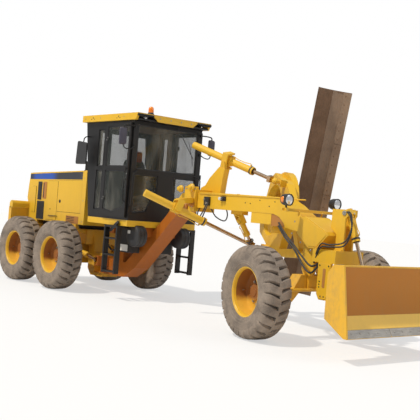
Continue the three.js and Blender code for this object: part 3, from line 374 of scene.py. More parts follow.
# %% Enamel and black paint
def enamel(name, colour, dust=(0.36, 0.24, 0.11), wear=(0.62, 0.44, 0.16), gloss=0.36, dusty=0.5, radius=0.006, painted_shade=None):
    """Paint with faded patches, dust that thickens towards the ground, and worn edges.

    A painted shade is a second, darker colour that takes over below and behind a point (x, z), standing in for a shadow
    that falls there.
    """
    f = Finish(name)
    broad, fine = f.noise(0.9, 3.0), f.noise(14.0, 6.0, 0.7)
    streak = f.noise(3.0, 5.0, 0.65, stretch=(3.5, 3.5, 0.5))
    low = 1 - f.ramp(f.height(), 0.2, 2.4)
    dirt = (f.ramp(streak * 0.6 + fine * 0.4, 0.42, 0.72) * (0.15 + low * 0.85) * dusty).clamp()
    edge = f.edges(0.009, 7.0) * f.ramp(fine, 0.42, 0.6)
    faded = f.mix(tuple(0.88 * c for c in colour), tuple(min(1.0, 1.1 * c) for c in colour), broad)
    base = f.mix(f.mix(faded, wear, edge * 0.55), dust, dirt * 0.6)
    # Painted shade: below and behind the point, the colour turns to the given darker tone.
    if painted_shade:
        tone, x_end, z_end = painted_shade
        x = f.node("SeparateXYZ", inputs={0: f.place()}) - float(HOME[0]) + (fine - 0.5) * 0.3
        reach = f.ramp(x, x_end + 0.25, x_end - 0.25) * f.ramp(f.height() + (fine - 0.5) * 0.2, z_end + 0.15, z_end - 0.15)
        base = f.mix(base, f.mix(tuple(0.8 * c for c in tone), tuple(1.2 * c for c in tone), streak), reach)
    skin = f.noise(150.0, 2.0)
    return f.set(colour=base, roughness=gloss + dirt * 0.4 + fine * 0.08, normal=f.bump(skin, 0.0006, 0.2, radius))


YELLOW = enamel("yellow_enamel", (0.80, 0.475, 0.024))
YELLOW_DUSTY = enamel("yellow_enamel_dusty", (0.77, 0.425, 0.026), dusty=1.0, gloss=0.42)
# The frame's enamel has painted shade: dark orange-brown behind x = -3.0 and below z = 1.78, the cab's shadow on the
# frame under it.
FRAME_YELLOW = enamel("frame_enamel_painted_shade", (0.80, 0.475, 0.024), painted_shade=((0.40, 0.115, 0.012), -3.0, 1.78))
# A dark brown copy of the yellow enamel, with dust: painted shade for recesses and for faces turned away from the
# light.
SHADE_BROWN = enamel("painted_shade_brown", (0.46, 0.19, 0.035), dusty=0.9, gloss=0.5)


def rim_disc():
    """Yellow enamel with a painted shadow: brown over the upper part of the dish, as if the rim's upper edge shaded it;
    set in object space, it turns with the wheel.
    """
    f = Finish("rim_disc_painted_shadow")
    fine = f.noise(12.0, 5.0, 0.65)
    brown = f.mix((0.20, 0.058, 0.005), (0.31, 0.105, 0.010), fine)
    yellow = f.mix((0.62, 0.32, 0.025), (0.80, 0.44, 0.035), fine)
    painted_shadow = f.ramp(f.height() + (fine - 0.5) * 0.08, 0.49, 0.60)
    return f.set(colour=f.mix(yellow, brown, painted_shadow), roughness=0.5 + fine * 0.2, normal=f.bump(fine, 0.001, 0.3))


RIM_DISC = rim_disc()
# A lighter copy of the yellow enamel: painted light for the dozer blade's forward-bent lip.
LIP_PAINTED_LIGHT = enamel("lip_enamel_painted_light", (0.90, 0.56, 0.09), dusty=0.2)
# A darker orange-brown copy of the yellow enamel: painted shade for the dozer blade's concave face.
BLADE_FACE_SHADE = enamel("blade_face_painted_shade", (0.46, 0.165, 0.008), dusty=0.35, gloss=0.6)
BLACK = enamel("black_satin_paint", (0.005, 0.0045, 0.005), dust=(0.13, 0.10, 0.075), wear=(0.07, 0.065, 0.06), dusty=0.24, gloss=0.42)
DARK_GREY = enamel("dark_grey_band", (0.035, 0.035, 0.042), dust=(0.15, 0.12, 0.09), wear=(0.09, 0.085, 0.08), dusty=0.3, gloss=0.4)

# %% [markdown]
# ## Rubber, steel and glass
#
# Tyre rubber that works in dust goes grey-brown on its lugs; the grooves between them get a much darker copy of the
# rubber as painted shade. The moldboard
# is bare steel: rust-brown, scoured in fine lines along its length by the soil. The rods are hard chrome.

# %% Rubber and metals
def tyre_rubber(name, shade=1.0):
    """Dark rubber under a film of dry soil; finer grain on top. A shade below 1 darkens every tone, for a copy that is
    painted shade.
    """
    f = Finish(name)
    patch, grain = f.noise(5.0, 5.0, 0.6), f.noise(60.0, 5.0, 0.7)
    edge = f.edges(0.012, 3.5)
    soil = f.ramp(patch * 0.65 + grain * 0.35, 0.3, 0.66)
    dark, light, pale = (tuple(shade * c for c in tone) for tone in ((0.14, 0.115, 0.095), (0.31, 0.25, 0.20), (0.42, 0.35, 0.28)))
    base = f.mix(f.mix(dark, light, soil), pale, edge * 0.45)
    return f.set(colour=base, roughness=0.88 - soil * 0.08, normal=f.bump(grain + patch * 0.6, 0.004, 0.45))


def scoured_steel(name, dark, light, stretch, gloss=0.42, metal=0.55):
    """Bare steel with rust tones and fine lines drawn out in one direction."""
    f = Finish(name)
    lines = f.noise(26.0, 6.0, 0.7, stretch=stretch)
    cloud, speck = f.noise(2.2, 5.0, 0.6), f.noise(70.0, 4.0, 0.75)
    tone = f.ramp(lines * 0.5 + cloud * 0.5, 0.32, 0.68)
    base = f.mix(f.mix(dark, light, tone), (0.30, 0.15, 0.06), f.ramp(speck + cloud * 0.4, 0.72, 0.9) * 0.45)
    return f.set(colour=base, roughness=gloss + cloud * 0.25, metallic=metal - tone * 0.15,
                 normal=f.bump(lines + speck * 0.4, 0.0015, 0.5))


# The second, much darker rubber (shade 0.26) is painted shade for the grooves between the bars.
RUBBER, RUBBER_GROOVE_SHADE = tyre_rubber("weathered_tyre_rubber"), tyre_rubber("tyre_groove_painted_shade", 0.26)
BLADE_STEEL = scoured_steel("moldboard_steel", (0.115, 0.062, 0.032), (0.235, 0.14, 0.085), (6.0, 6.0, 0.35))
BLADE_LIGHT = scoured_steel("moldboard_scoured_strip", (0.19, 0.125, 0.085), (0.33, 0.235, 0.165), (6.0, 6.0, 0.35))
EDGE_STEEL = scoured_steel("cutting_edge_steel", (0.30, 0.28, 0.25), (0.52, 0.49, 0.44), (2.0, 0.3, 2.0), 0.34, 0.75)


def plain(name, colour, roughness, metallic=0.0, grain=40.0, depth=0.001, spread=0.16, **fixed):
    """A finish of one tone that still has grain: colour and gloss vary a little, with a fine bump."""
    f = Finish(name, **fixed)
    cloud, fine = f.noise(grain * 0.12, 4.0), f.noise(grain, 4.0, 0.7)
    low, high = (tuple(min(1.0, c * k) for c in colour) for k in (1 - spread, 1 + spread))
    return f.set(colour=f.mix(low, high, cloud * 0.6 + fine * 0.4), roughness=roughness + (cloud - 0.5) * 0.14,
                 metallic=metallic, normal=f.bump(fine, depth, 0.35))


CHROME = plain("hard_chrome", (0.50, 0.36, 0.24), 0.26, 1.0, 30.0, 0.0002, 0.05)
ZINC = plain("plated_bolt_steel", (0.42, 0.41, 0.38), 0.38, 0.85, 90.0, 0.0004, 0.2)
IRON = plain("engine_cast_iron", (0.06, 0.06, 0.062), 0.6, 0.5, 60.0, 0.003, 0.3)
HOSE = plain("hydraulic_hose_rubber", (0.035, 0.034, 0.033), 0.55, 0.0, 220.0, 0.0008, 0.3)
PLASTIC = plain("moulded_black_plastic", (0.028, 0.028, 0.03), 0.5, 0.0, 300.0, 0.0005, 0.2)
LINING = plain("brown_cab_lining", (0.20, 0.125, 0.075), 0.8, 0.0, 160.0, 0.001, 0.15)
AMBER = plain("amber_lens", (0.95, 0.26, 0.02), 0.22, 0.0, 60.0, 0.0008, 0.1, coat_weight=0.6)
RED = plain("red_lens", (0.62, 0.02, 0.015), 0.25, 0.0, 60.0, 0.0008, 0.1, coat_weight=0.6)
LENS = plain("clear_lamp_lens", (0.80, 0.82, 0.84), 0.10, 0.6, 18.0, 0.004, 0.12, coat_weight=1.0)
MIRROR_BACK = plain("violet_grey_plastic", (0.062, 0.057, 0.082), 0.4, 0.0, 200.0, 0.0005, 0.2)
LABEL = plain("blank_white_label", (0.72, 0.70, 0.66), 0.5, 0.0, 80.0, 0.0003, 0.06)


def tinted_glass():
    """Thin safety glass: see-through, faintly green, with dusty smears that dull and whiten it."""
    f = Finish("tinted_safety_glass", metallic=0.0, coat_weight=0.35)
    smear = f.ramp(f.noise(2.4, 5.0, 0.6, stretch=(1.0, 1.0, 0.35)), 0.45, 0.75)
    base = f.mix((0.055, 0.065, 0.058), (0.26, 0.25, 0.21), smear)
    return f.set(colour=base, roughness=0.05 + smear * 0.2, alpha=0.30 + smear * 0.14)


GLASS = tinted_glass()


def seat_cloth():
    """Woven cloth: two crossed wave patterns make the threads."""
    f = Finish("woven_seat_cloth")
    spot = f.place()
    warp = f.node("TexWave", {"bands_direction": "Y"}, {"Vector": spot, "Scale": 90.0, "Distortion": 0.6})
    weft = f.node("TexWave", {"bands_direction": "Z"}, {"Vector": spot, "Scale": 90.0, "Distortion": 0.6})
    worn = f.ramp(f.noise(6.0), 0.35, 0.7)
    base = f.mix((0.035, 0.03, 0.03), (0.11, 0.085, 0.07), (warp * weft) * 0.7 + worn * 0.3)
    return f.set(colour=base, roughness=0.92, normal=f.bump(warp + weft, 0.0012, 0.5))


SEAT_CLOTH = seat_cloth()
print(len(bpy.data.materials), "finishes")

# %% [markdown]
# ## The carried-over CAD nodes
#
# Frames, axles, forks and brackets already have their real shape in CAD. They keep their meshes and only get
# the enamel, black paint, chrome or iron that the real part has.

# %% Paint the CAD nodes
PAINT = {
    FRAME_YELLOW: ["front_frame"],
    YELLOW: ["engine_hood", "drawbar", "circle", "tip_bracket", "saddle", "dozer_mount", "dozer_arms",
             "cab_floor", "lamp_bar"],
    YELLOW_DUSTY: ["rear_frame", "tandem_case_left", "tandem_case_right", "front_axle", "lean_bracket_left",
                   "lean_bracket_right", "knuckle_left", "knuckle_right", "lean_bar", "dozer_blade"],
    BLACK: ["cab_frame", "cab_roof", "door_left", "door_right", "ladder_left", "ladder_right", "mirror_left",
            "mirror_right", "radiator_grille", "steering_console"],
    IRON: ["engine_block"], SEAT_CLOTH: ["seat"], BLADE_STEEL: ["moldboard"], RUBBER: [],
}
CYLINDERS = ["lift_cylinder_left", "lift_cylinder_right", "centre_shift_cylinder", "articulation_cylinder_left",
             "articulation_cylinder_right", "dozer_cylinder"]
PAINT[YELLOW] += [f"{name}_barrel" for name in CYLINDERS]
PAINT[CHROME] = [f"{name}_rod" for name in CYLINDERS]
for finish, names in PAINT.items():
    for name in names:
        mesh = frame["nodes"][name].data
        mesh.materials.clear()
        mesh.materials.append(finish)

# %% [markdown]
# ## Tyres
#
# A grader tyre has deep bars that run in from each shoulder at a slant and are staggered from side to side,
# so a zigzag groove is left down the middle. The carcass is one profile turned about the axle. Each bar is a
# short loft whose section stays square to the tread while its path runs from the middle, over the shoulder
# and down on to the sidewall.

# %% Tyre shape
TYRE_R, TYRE_W, RIM_R = 0.665, 0.445, 0.345
LUGS, LUG_DEPTH = 26, 0.036


def tyre_section(s):
    """Radius and side distance of the bare carcass: s runs 0 at the middle of the tread to 1 at the bead."""
    knots = np.array([0.0, 0.34, 0.52, 0.66, 0.8, 0.92, 1.0])
    radius = np.array([0.629, 0.622, 0.598, 0.545, 0.46, 0.385, 0.350])
    side = np.array([0.0, 0.128, 0.187, 0.212, 0.216, 0.196, 0.168])
    line = curve_through(np.column_stack([radius, side]), 121)
    at = np.interp(s, knots, np.linspace(0, 1, len(knots)))
    return np.column_stack([np.interp(at, np.linspace(0, 1, 121), line[:, k]) for k in (0, 1)])


def add_tyre(piece):
    """Carcass and bars about the local Z axis, +Z outwards."""
    s = np.linspace(0, 1, 15)
    half = tyre_section(s)
    profile = np.vstack([half[::-1] * [1, -1], half[1:]])
    inner = [[0.347, half[-1, 1] - 0.02], [0.347, -half[-1, 1] + 0.02]]
    ring = np.vstack([profile, inner])
    piece.use(RUBBER_GROOVE_SHADE).use(RUBBER).lathe(ring, 96, closed=True)
    # Carcass faces inside the tread, between the bars, take the darker rubber: painted shade in the grooves.
    piece.finishes = [piece.slots.index(RUBBER_GROOVE_SHADE if abs(y) < 0.19 and r > 0.57 else RUBBER) for r, y in ring] * 96
    for ring, height in ((0.40, 0.0045), (0.435, 0.003)):
        for side in (-1, 1):
            y = np.interp(ring, half[::-1, 0], half[::-1, 1])
            line = [(ring - 0.006, y - 0.004), (ring - 0.003, y + height), (ring + 0.003, y + height), (ring + 0.006, y - 0.004)]
            piece.lathe(np.array(line) * [1, side], 96, closed=True)
    along = np.linspace(0.0, 1.0, 9)
    for side in (-1, 1):
        for k in range(LUGS):
            start = 2 * math.pi * (k + (0.5 if side > 0 else 0.0)) / LUGS
            s = -0.035 + along * 0.70
            base = tyre_section(np.abs(s))
            base[:, 1] *= np.sign(s + 1e-9)
            slope = np.gradient(base, axis=0)
            out = np.column_stack([slope[:, 1], -slope[:, 0]])
            out /= np.linalg.norm(out, axis=1)[:, None]
            depth = LUG_DEPTH * np.interp(along, [0, 0.55, 0.8, 1.0], [1.0, 1.0, 0.62, 0.12])
            turn = start + 0.09 * np.interp(along, [0, 0.62, 1.0], [0, 1.0, 1.12])
            wide = np.interp(along, [0, 0.4, 0.62, 1.0], [0.105, 0.118, 0.128, 0.122]) / base[:, 0]
            rings = []
            for across, lift in ((-0.62, -0.012), (-0.42, 1.0), (0.42, 1.0), (0.62, -0.012)):
                height = np.where(lift < 0, -0.012, depth)
                r = base[:, 0] + out[:, 0] * height
                r = np.minimum(r, TYRE_R - 0.0006)
                y = base[:, 1] + out[:, 1] * height
                y = np.minimum(y, TYRE_W / 2 - 0.001)
                a = turn + wide * across
                rings.append(np.stack([r * np.cos(a), r * np.sin(a), side * y], -1))
            piece.grid(np.stack(rings, 1), wrap_v=True, caps=True)


def wheel_place(wheel):
    """The wheel's frame: local Z outwards along its axle, from its spin joint."""
    joint = JOINTS[f"{wheel}_spin"]
    side = 1.0 if wheel.endswith("left") else -1.0
    outward = np.array(joint["axis"]) * side
    forward = np.cross([0, 0, 1], outward) * -1
    return axes_frame(joint_place(f"{wheel}_spin"), forward, np.cross(outward, forward / np.linalg.norm(forward)))


def add_rim(piece):
    """A dished rim: rolled lip, conical well, deep disc, hub and ten nuts, all about the local Z axis."""
    lip = arc((0.349, 0.162), 0.012, -60, 190, 9)
    profile = np.vstack([
        [[0.0, -0.076], [0.318, -0.076], [0.322, -0.145], [0.338, -0.166], [0.346, -0.150], [0.346, 0.130]],
        lip, [[0.330, 0.152], [0.326, 0.118], [0.316, 0.096], [0.308, 0.02], [0.292, -0.030], [0.262, -0.046],
              [0.215, -0.048], [0.135, -0.048], [0.125, -0.040], [0.122, 0.004], [0.112, 0.014], [0.06, 0.014],
              [0.055, 0.024], [0.0, 0.026]]])
    piece.use(RIM_DISC).use(YELLOW).lathe(profile, 72)
    # The dish inside the rolled lip takes the finish with the painted shadow.
    piece.finishes = [piece.slots.index(RIM_DISC if r < 0.328 and y > -0.06 else YELLOW) for r, y in profile[:-1]] * 72
    angles = np.radians(np.arange(10) * 36 + 18)
    spots = np.column_stack([0.168 * np.cos(angles), 0.168 * np.sin(angles), np.full(10, -0.048)])
    piece.use(ZINC).bolts(spots, (0, 0, 1), 0.017, 0.022)
    piece.use(RUBBER).rod((0.298, 0.0, 0.0), (0.262, 0.0, 0.045), 0.006, 8)


WHEELS = [f"{row}_{side}" for row in ("front_wheel", "middle_wheel", "rear_wheel") for side in ("left", "right")]
for wheel in WHEELS:
    place = wheel_place(wheel)
    tyre = Piece(f"{wheel}_treaded_tyre", place)
    add_tyre(tyre)
    tyre.make(wheel, "tyre", f"{wheel}_tyre", bevel=0.006, smooth=42, segments=1)
    rim = Piece(f"{wheel}_dished_rim", place)
    add_rim(rim)
    rim.make(wheel, "yellow_paint", f"{wheel}_rim", smooth=30)
# %% [markdown]
# ## Engine hood
#
# The hood is a plain box in CAD. Real ones carry thin doors with narrow shut lines, a colour band under the
# top edge, a tall air screen with slats, and latches. Both sides get the same panels: `side` mirrors them.

# %% Hood panels, band and screens
def band_paint():
    """The colour band: dark blue at the rear, bright blue, then a soft change to charcoal further forward."""
    f = Finish("blue_to_charcoal_band")
    x = f.node("SeparateXYZ", inputs={0: f.place()}) - float(HOME[0])
    grain = f.noise(30.0, 4.0) * 0.06
    blue = f.mix((0.018, 0.03, 0.075), (0.015, 0.085, 0.44), f.ramp(x, -7.95, -7.72))
    base = f.mix(blue, (0.032, 0.034, 0.045), f.ramp(x + grain, -7.05, -6.72))
    dust = f.ramp(f.noise(2.5, 5.0), 0.5, 0.8) * 0.25
    return f.set(colour=f.mix(base, (0.22, 0.18, 0.13), dust), roughness=0.34 + dust * 0.6,
                 normal=f.bump(f.noise(140.0, 2.0), 0.0005, 0.2))


BAND = band_paint()


def panel(piece, outline, side, proud=0.006, gap=0.004, radius=0.012):
    """A thin door panel on the hood's side; a narrow dark frame under it reads as its shut line."""
    line = rounded(outline, radius)
    middle = line.mean(0)
    size = np.ptp(line, axis=0)
    y = 0.6 * side
    wide = middle + (line - middle) * (1 + 2 * gap / size)
    piece.use(BLACK).prism(wide, min(y, y + side * proud * 0.35), max(y, y + side * proud * 0.35), plane="xz")
    piece.use(YELLOW).prism(line, min(y, y + side * proud), max(y, y + side * proud), plane="xz")


for side, label in ((-1, "right"), (1, "left")):
    hood = Piece(f"hood_panels_{label}")
    y = lambda out, side=side: side * (0.6 + out)
    span = lambda a, b, y=y: (min(y(a), y(b)), max(y(a), y(b)))
    hood.use(BAND).prism(rounded([(-8.01, 2.135), (-5.755, 2.172), (-5.755, 2.325), (-8.01, 2.245)], 0.012), *span(0.0, 0.004), plane="xz")
    panel(hood, [(-6.745, 1.487), (-5.80, 1.494), (-5.80, 2.155), (-6.745, 2.122)], side)
    panel(hood, [(-7.19, 1.30), (-6.765, 1.30), (-6.765, 2.120), (-7.19, 2.110)], side)
    panel(hood, [(-7.865, 1.44), (-7.70, 1.42), (-7.70, 1.985), (-7.86, 1.98)], side, 0.012)
    for low, high in ((1.70, 2.09), (1.29, 1.675)):
        frame_line = [(-7.625, low), (-7.45 if low > 1.5 else -7.30, low), (-7.45 if low > 1.5 else -7.31, high), (-7.625, high)]
        hood.use(PLASTIC).prism(rounded(frame_line, 0.01), *span(0.0, 0.004), plane="xz")
        right_end = -7.47 if low > 1.5 else -7.33
        for z in np.arange(low + 0.02, high - 0.02, 0.026):
            hood.prism([(side * 0.600, z), (side * 0.614, z - 0.010), (side * 0.616, z - 0.006), (side * 0.602, z + 0.004)], -7.61, right_end, plane="yz")
    # The latch recess round the black handle is painted shade in dark brown.
    hood.use(SHADE_BROWN).prism(rounded([(-7.405, 1.73), (-7.24, 1.73), (-7.24, 2.09), (-7.405, 2.09)], 0.02), *span(0.0, 0.007), plane="xz")
    hood.use(PLASTIC).prism([(-7.375, 1.76), (-7.345, 1.76), (-7.345, 2.06), (-7.375, 2.06)], *span(0.006, 0.010), plane="xz")
    for x, z, r in ((-6.635, 1.702, 0.036), (-7.025, 1.523, 0.014)):
        spot = axes_frame((x, y(0.005), z), (1, 0, 0), (0, 0, -side))
        hood.use(BLACK).lathe([(0, 0), (r, 0), (r * 1.02, 0.003), (r * 0.8, 0.004), (r * 0.76, 0.0025), (0, 0.0025)], 28, spot)
    hood.use(BLACK).rod((-7.06, y(0.022), 1.385), (-6.70, y(0.022), 1.39), 0.007, 8)
    for x in (-7.05, -6.71):
        hood.rod((x, y(0.0), 1.387), (x, y(0.026), 1.387), 0.006, 8)
    # A dark brown patch under black slats: painted shade in a slatted recess.
    hood.use(SHADE_BROWN).prism(rounded([(-6.345, 1.275), (-5.85, 1.275), (-5.85, 1.425), (-6.345, 1.43)], 0.012), *span(0.0, 0.004), plane="xz")
    for k in range(4):
        z = 1.297 + 0.032 * k
        hood.use(BLACK).prism([(-6.32, z), (-6.02, z), (-6.02, z + 0.012), (-6.32, z + 0.012)], *span(0.004, 0.007), plane="xz")
    hood.use(YELLOW).prism(rounded([(-5.79, 1.272), (-5.632, 1.272), (-5.632, 2.335), (-5.79, 2.33)], 0.01), *span(0.0, 0.009), plane="xz")
    hood.use(ZINC).bolts([(-5.71, y(0.008), z) for z in (1.33, 1.75, 2.20)], (0, side, 0), 0.009, 0.006)
    hood.use(YELLOW).prism([(-7.99, 2.247), (-5.64, 2.330), (-5.64, 2.345), (-7.99, 2.262)], *span(0.0, 0.006), plane="xz")
    hood.make("rear_frame", "yellow_paint", bevel=0.0015, segments=1)

top = Piece("hood_top_and_tail")
tilt = math.atan2(0.08, 2.39)
deck = axes_frame((-6.825, 0, 2.310), (math.cos(tilt), 0, math.sin(tilt)), (0, 1, 0))
top.use(YELLOW).prism(rounded([(-1.17, -0.57), (1.16, -0.57), (1.16, 0.57), (-1.17, 0.57)], 0.04), -0.002, 0.008, deck)
for x0, x1 in ((-0.95, -0.35), (0.35, 0.95)):
    top.prism(rounded([(x0, -0.35), (x1, -0.35), (x1, 0.35), (x0, 0.35)], 0.03), 0.006, 0.018, deck)
    for k in range(8):
        x = x0 + 0.06 + 0.068 * k
        top.use(BLACK).prism([(x, -0.30), (x + 0.03, -0.30), (x + 0.03, 0.30), (x, 0.30)], 0.017, 0.0215, deck)
    top.use(YELLOW)
stack = axes_frame((-7.0, 0.22, 2.30), (1, 0, 0), (0, 1, 0))
top.use(BLACK).lathe([(0, 0), (0.10, 0), (0.10, 0.02), (0.062, 0.03), (0.062, 0.30), (0.058, 0.31), (0.05, 0.31), (0.05, 0.02), (0, 0.02)], 28, stack)
cap = axes_frame((-6.3, -0.2, 2.325), (1, 0, 0), (0, 1, 0))
top.lathe([(0, 0), (0.075, 0), (0.08, 0.01), (0.08, 0.05), (0.07, 0.06), (0, 0.062)], 28, cap)
for k in range(14):
    z = 1.58 + 0.039 * k
    top.use(PLASTIC).prism([(-8.019, z), (-8.006, z + 0.018), (-8.001, z + 0.018), (-8.001, z)], -0.41, 0.41, plane="xz")
for side in (-1, 1):
    lamp_head_place = axes_frame((-8.021, side * 0.515, 1.90), (0, 1, 0), (0, 0, 1))
    top.use(PLASTIC).prism([(side * 0.46, 1.80), (side * 0.57, 1.80), (side * 0.57, 2.03), (side * 0.46, 2.03)], -8.026, -8.018, plane="yz")
    top.use(RED).prism([(side * 0.468, 1.81), (side * 0.562, 1.81), (side * 0.562, 1.91), (side * 0.468, 1.91)], -8.035, -8.024, plane="yz")
    top.use(AMBER).prism([(side * 0.468, 1.92), (side * 0.562, 1.92), (side * 0.562, 2.02), (side * 0.468, 2.02)], -8.035, -8.024, plane="yz")
top.use(YELLOW)
for side in (-1, 1):
    y0, y1 = sorted((side * 0.47, side * 0.597))
    top.prism(rounded([(-8.02, 2.245), (-8.065, 2.03), (-8.10, 1.72), (-8.02, 1.60)], 0.03), y0, y1, plane="xz")
    y0, y1 = sorted((side * 0.605, side * 1.0))
    top.prism(rounded([(-8.115, 1.48), (-7.97, 1.48), (-7.97, 1.59), (-8.02, 1.655), (-8.115, 1.60)], 0.04), y0, y1, plane="xz")
top.make("rear_frame", "yellow_paint", bevel=0.002, segments=1)
# %% [markdown]
# ## Cab glass, gaskets and trim
#
# Each window is a thin pane held in its opening by a rubber gasket, as on the real cab. One function makes
# both from the same outline, so the gasket always follows the glass. The outline's corners are rounded,
# because a sharp corner in safety glass would crack.

# %% A glazed opening
CAB_HALF, DOOR_OUT = 0.78, 0.83
PLANES = {"side": lambda o, d: np.column_stack([o[:, 0], np.full(len(o), d), o[:, 1]]),
          "front": lambda o, d: np.column_stack([np.full(len(o), d), o[:, 0], o[:, 1]])}


def glaze(piece, outline, plane, depth, pane=0.006, gasket=0.011, radius=0.05, inset=0.004):
    """A pane at a depth across its plane, and a gasket tube closed round its outline."""
    line = rounded(outline, radius, 5)
    middle = line.mean(0)
    flat = "xz" if plane == "side" else "yz"
    piece.use(GLASS).prism(line, depth - pane / 2, depth + pane / 2, plane=flat)
    shrink = middle + (line - middle) * (1 - inset)
    path = PLANES[plane](shrink, depth)
    ahead, behind = np.roll(path, -1, 0), np.roll(path, 1, 0)
    tangent = (ahead - behind) / np.linalg.norm(ahead - behind, axis=1)[:, None]
    across = np.zeros_like(path)
    across[:, 1 if plane == "side" else 0] = 1.0
    inward = np.cross(tangent, across)
    turn = np.linspace(0, 2 * np.pi, 8, endpoint=False)[None, :, None]
    ring = path[:, None] + gasket * (across[:, None] * np.cos(turn) + inward[:, None] * np.sin(turn))
    piece.use(PLASTIC).grid(ring, wrap_u=True, wrap_v=True)


glass = Piece("cab_glass")
glaze(glass, [(-0.682, 2.408), (0.682, 2.408), (0.682, 3.197), (-0.682, 3.197)], "front", -3.865)
for side in (-1, 1):
    glaze(glass, [(side * y, z) for y, z in ((0.183, 2.302), (0.183, 2.06), (0.405, 1.648), (0.692, 1.61), (0.692, 2.302))], "front", -3.868)
    for low, high in ((1.628, 2.352), (2.438, 3.122)):
        glaze(glass, [(-5.022, low), (-4.838, low), (-4.838, high), (-5.022, high)], "side", side * 0.755)
glaze(glass, [(-0.592, 2.458), (0.592, 2.458), (0.592, 3.122), (-0.592, 3.122)], "front", -5.39)
glass.make("front_frame", None)

# %% [markdown]
# ## Doors
#
# The door is a black frame with two panes, hung on its rear edge. The lower pane has a clipped corner above
# the step. A grab handle and a lever latch sit by the front edge, where a hand reaches them from the ladder.

# %% Door trim on both sides
for side, label in ((-1, "right"), (1, "left")):
    door = Piece(f"door_{label}_trim")
    for outline in (((-4.629, 2.438), (-3.941, 2.438), (-3.941, 3.162), (-4.629, 3.162)),
                    ((-4.629, 1.648), (-4.362, 1.60), (-3.985, 1.70), (-3.941, 1.775), (-3.941, 2.352), (-4.629, 2.352))):
        glaze(door, outline, "side", side * 0.812)
    y = side * DOOR_OUT
    grip = curve_through([(-3.913, y, 1.80), (-3.913, y + side * 0.045, 1.82), (-3.913, y + side * 0.05, 2.0),
                          (-3.913, y + side * 0.045, 2.18), (-3.913, y, 2.20)], 18)
    door.use(BLACK).tube(grip, 0.012)
    door.rod((-3.915, y, 2.395), (-3.915, y + side * 0.03, 2.395), 0.016)
    door.box((-3.93, min(y + side * 0.028, y + side * 0.044), 2.335), (-3.90, max(y + side * 0.028, y + side * 0.044), 2.42))
    door.use(ZINC).lathe([(0, 0), (0.011, 0), (0.011, 0.006), (0, 0.006)], 16,
                         axes_frame((-3.915, y, 2.30), (1, 0, 0), (0, 0, -side)))
    for z in (1.80, 2.90):
        door.use(BLACK).box((-4.675, min(y, y + side * 0.008), z), (-4.60, max(y, y + side * 0.008), z + 0.08))
        door.use(ZINC).bolts([(-4.65, y + side * 0.008, z + 0.02), (-4.62, y + side * 0.008, z + 0.06)], (0, side, 0), 0.008, 0.006)
    door.make(f"door_{label}", "black_paint", bevel=0.002, segments=1)

# %% [markdown]
# ## Cab roof
#
# The roof overhangs the walls. Its yellow fascia boards run along the sides and the front, and black pods
# fill the cut corners, each with a work lamp that looks forward and down. An amber beacon stands on top.

# %% Roof
def lamp_head(piece, centre, toward, radius, depth, lens, bezel=None):
    """A round lamp: bowl, bezel ring and a domed lens, looking along `toward`."""
    toward = np.array(toward, float) / np.linalg.norm(toward)
    side = np.cross(toward, [0.12, 0.05, 1.0])
    spot = axes_frame(centre, side, np.cross(toward, side))
    bowl = [(0, -depth), (radius * 0.55, -depth), (radius * 0.86, -depth * 0.62), (radius * 0.98, -depth * 0.16),
            (radius, 0.0), (radius, 0.014), (radius * 0.9, 0.016), (radius * 0.88, 0.004), (0, 0.004)]
    piece.use(bezel or PLASTIC).lathe(bowl, 32, spot)
    dome = np.linspace(0, 1, 7)
    face = [(radius * 0.885 * (1 - t), 0.004 + 0.022 * math.sin(t * math.pi / 2)) for t in dome]
    piece.use(lens).lathe([(0, 0.002), (radius * 0.885, 0.002)] + face, 32, spot)


roof = Piece("cab_roof_panels")
LOW, HIGH, BACK, FORE = 3.272, 3.398, -5.56, -3.66
roof.use(YELLOW).prism(rounded([(BACK, -0.84), (FORE - 0.02, -0.84), (FORE - 0.02, 0.84), (BACK, 0.84)], 0.03), 3.378, HIGH)
roof.use(BLACK).prism([(BACK + 0.03, -0.80), (-3.70, -0.80), (-3.70, 0.80), (BACK + 0.03, 0.80)], LOW, 3.30)
roof.prism([(BACK + 0.03, -0.80), (-3.87, -0.80), (-3.87, -0.52), (-3.70, -0.40), (-3.70, 0.40), (-3.87, 0.52),
            (-3.87, 0.80), (BACK + 0.03, 0.80)], 3.29, 3.379)
for side in (-1, 1):
    board = [(BACK, HIGH), (FORE - 0.015, HIGH), (FORE - 0.075, LOW), (BACK, LOW)]
    y = side * 0.80
    outer = [(x, side * (0.845 if z > 3.33 else 0.850), z) for x, z in board]
    inner = [(x, y, z) for x, z in board]
    roof.use(YELLOW).grid(np.stack([inner, outer]), wrap_v=True, caps=True)
    roof.use(BLACK).prism([(FORE - 0.10, side * 0.845), (FORE - 0.004, side * 0.845), (FORE - 0.004, side * 0.50), (FORE - 0.10, side * 0.44)], 3.35, 3.379)
    roof.prism([(FORE - 0.004, side * 0.835), (FORE - 0.004, side * 0.62), (FORE - 0.02, side * 0.62), (FORE - 0.02, side * 0.835)], 3.33, 3.36)
    roof.prism([(-3.87, side * 0.52), (-3.87, side * 0.78), (-3.80, side * 0.78), (-3.80, side * 0.50)], LOW, 3.30)
    lamp_head(roof, (-3.735, side * 0.645, 3.318), (0.78, side * 0.42, -0.38), 0.042, 0.055, LENS)
    roof.use(ZINC).bolts([(x, side * 0.847, 3.335) for x in (-5.45, -4.92, -4.12)], (0, side, 0), 0.009, 0.006)
    for x in (-5.18, -4.30):
        roof.use(BLACK).bolts([(x, side * 0.847, 3.345), (x - 0.05, side * 0.847, 3.318), (x + 0.05, side * 0.847, 3.318)], (0, side, 0), 0.010, 0.004)
visor = [(-0.53, 3.385), (0.53, 3.385), (0.40, LOW + 0.001), (-0.40, LOW + 0.001)]
front = np.array([(FORE - 0.008 if z > 3.3 else FORE, y, z) for y, z in visor])
roof.use(YELLOW).grid(np.stack([front - [0.02, 0, 0], front]), wrap_v=True, caps=True)
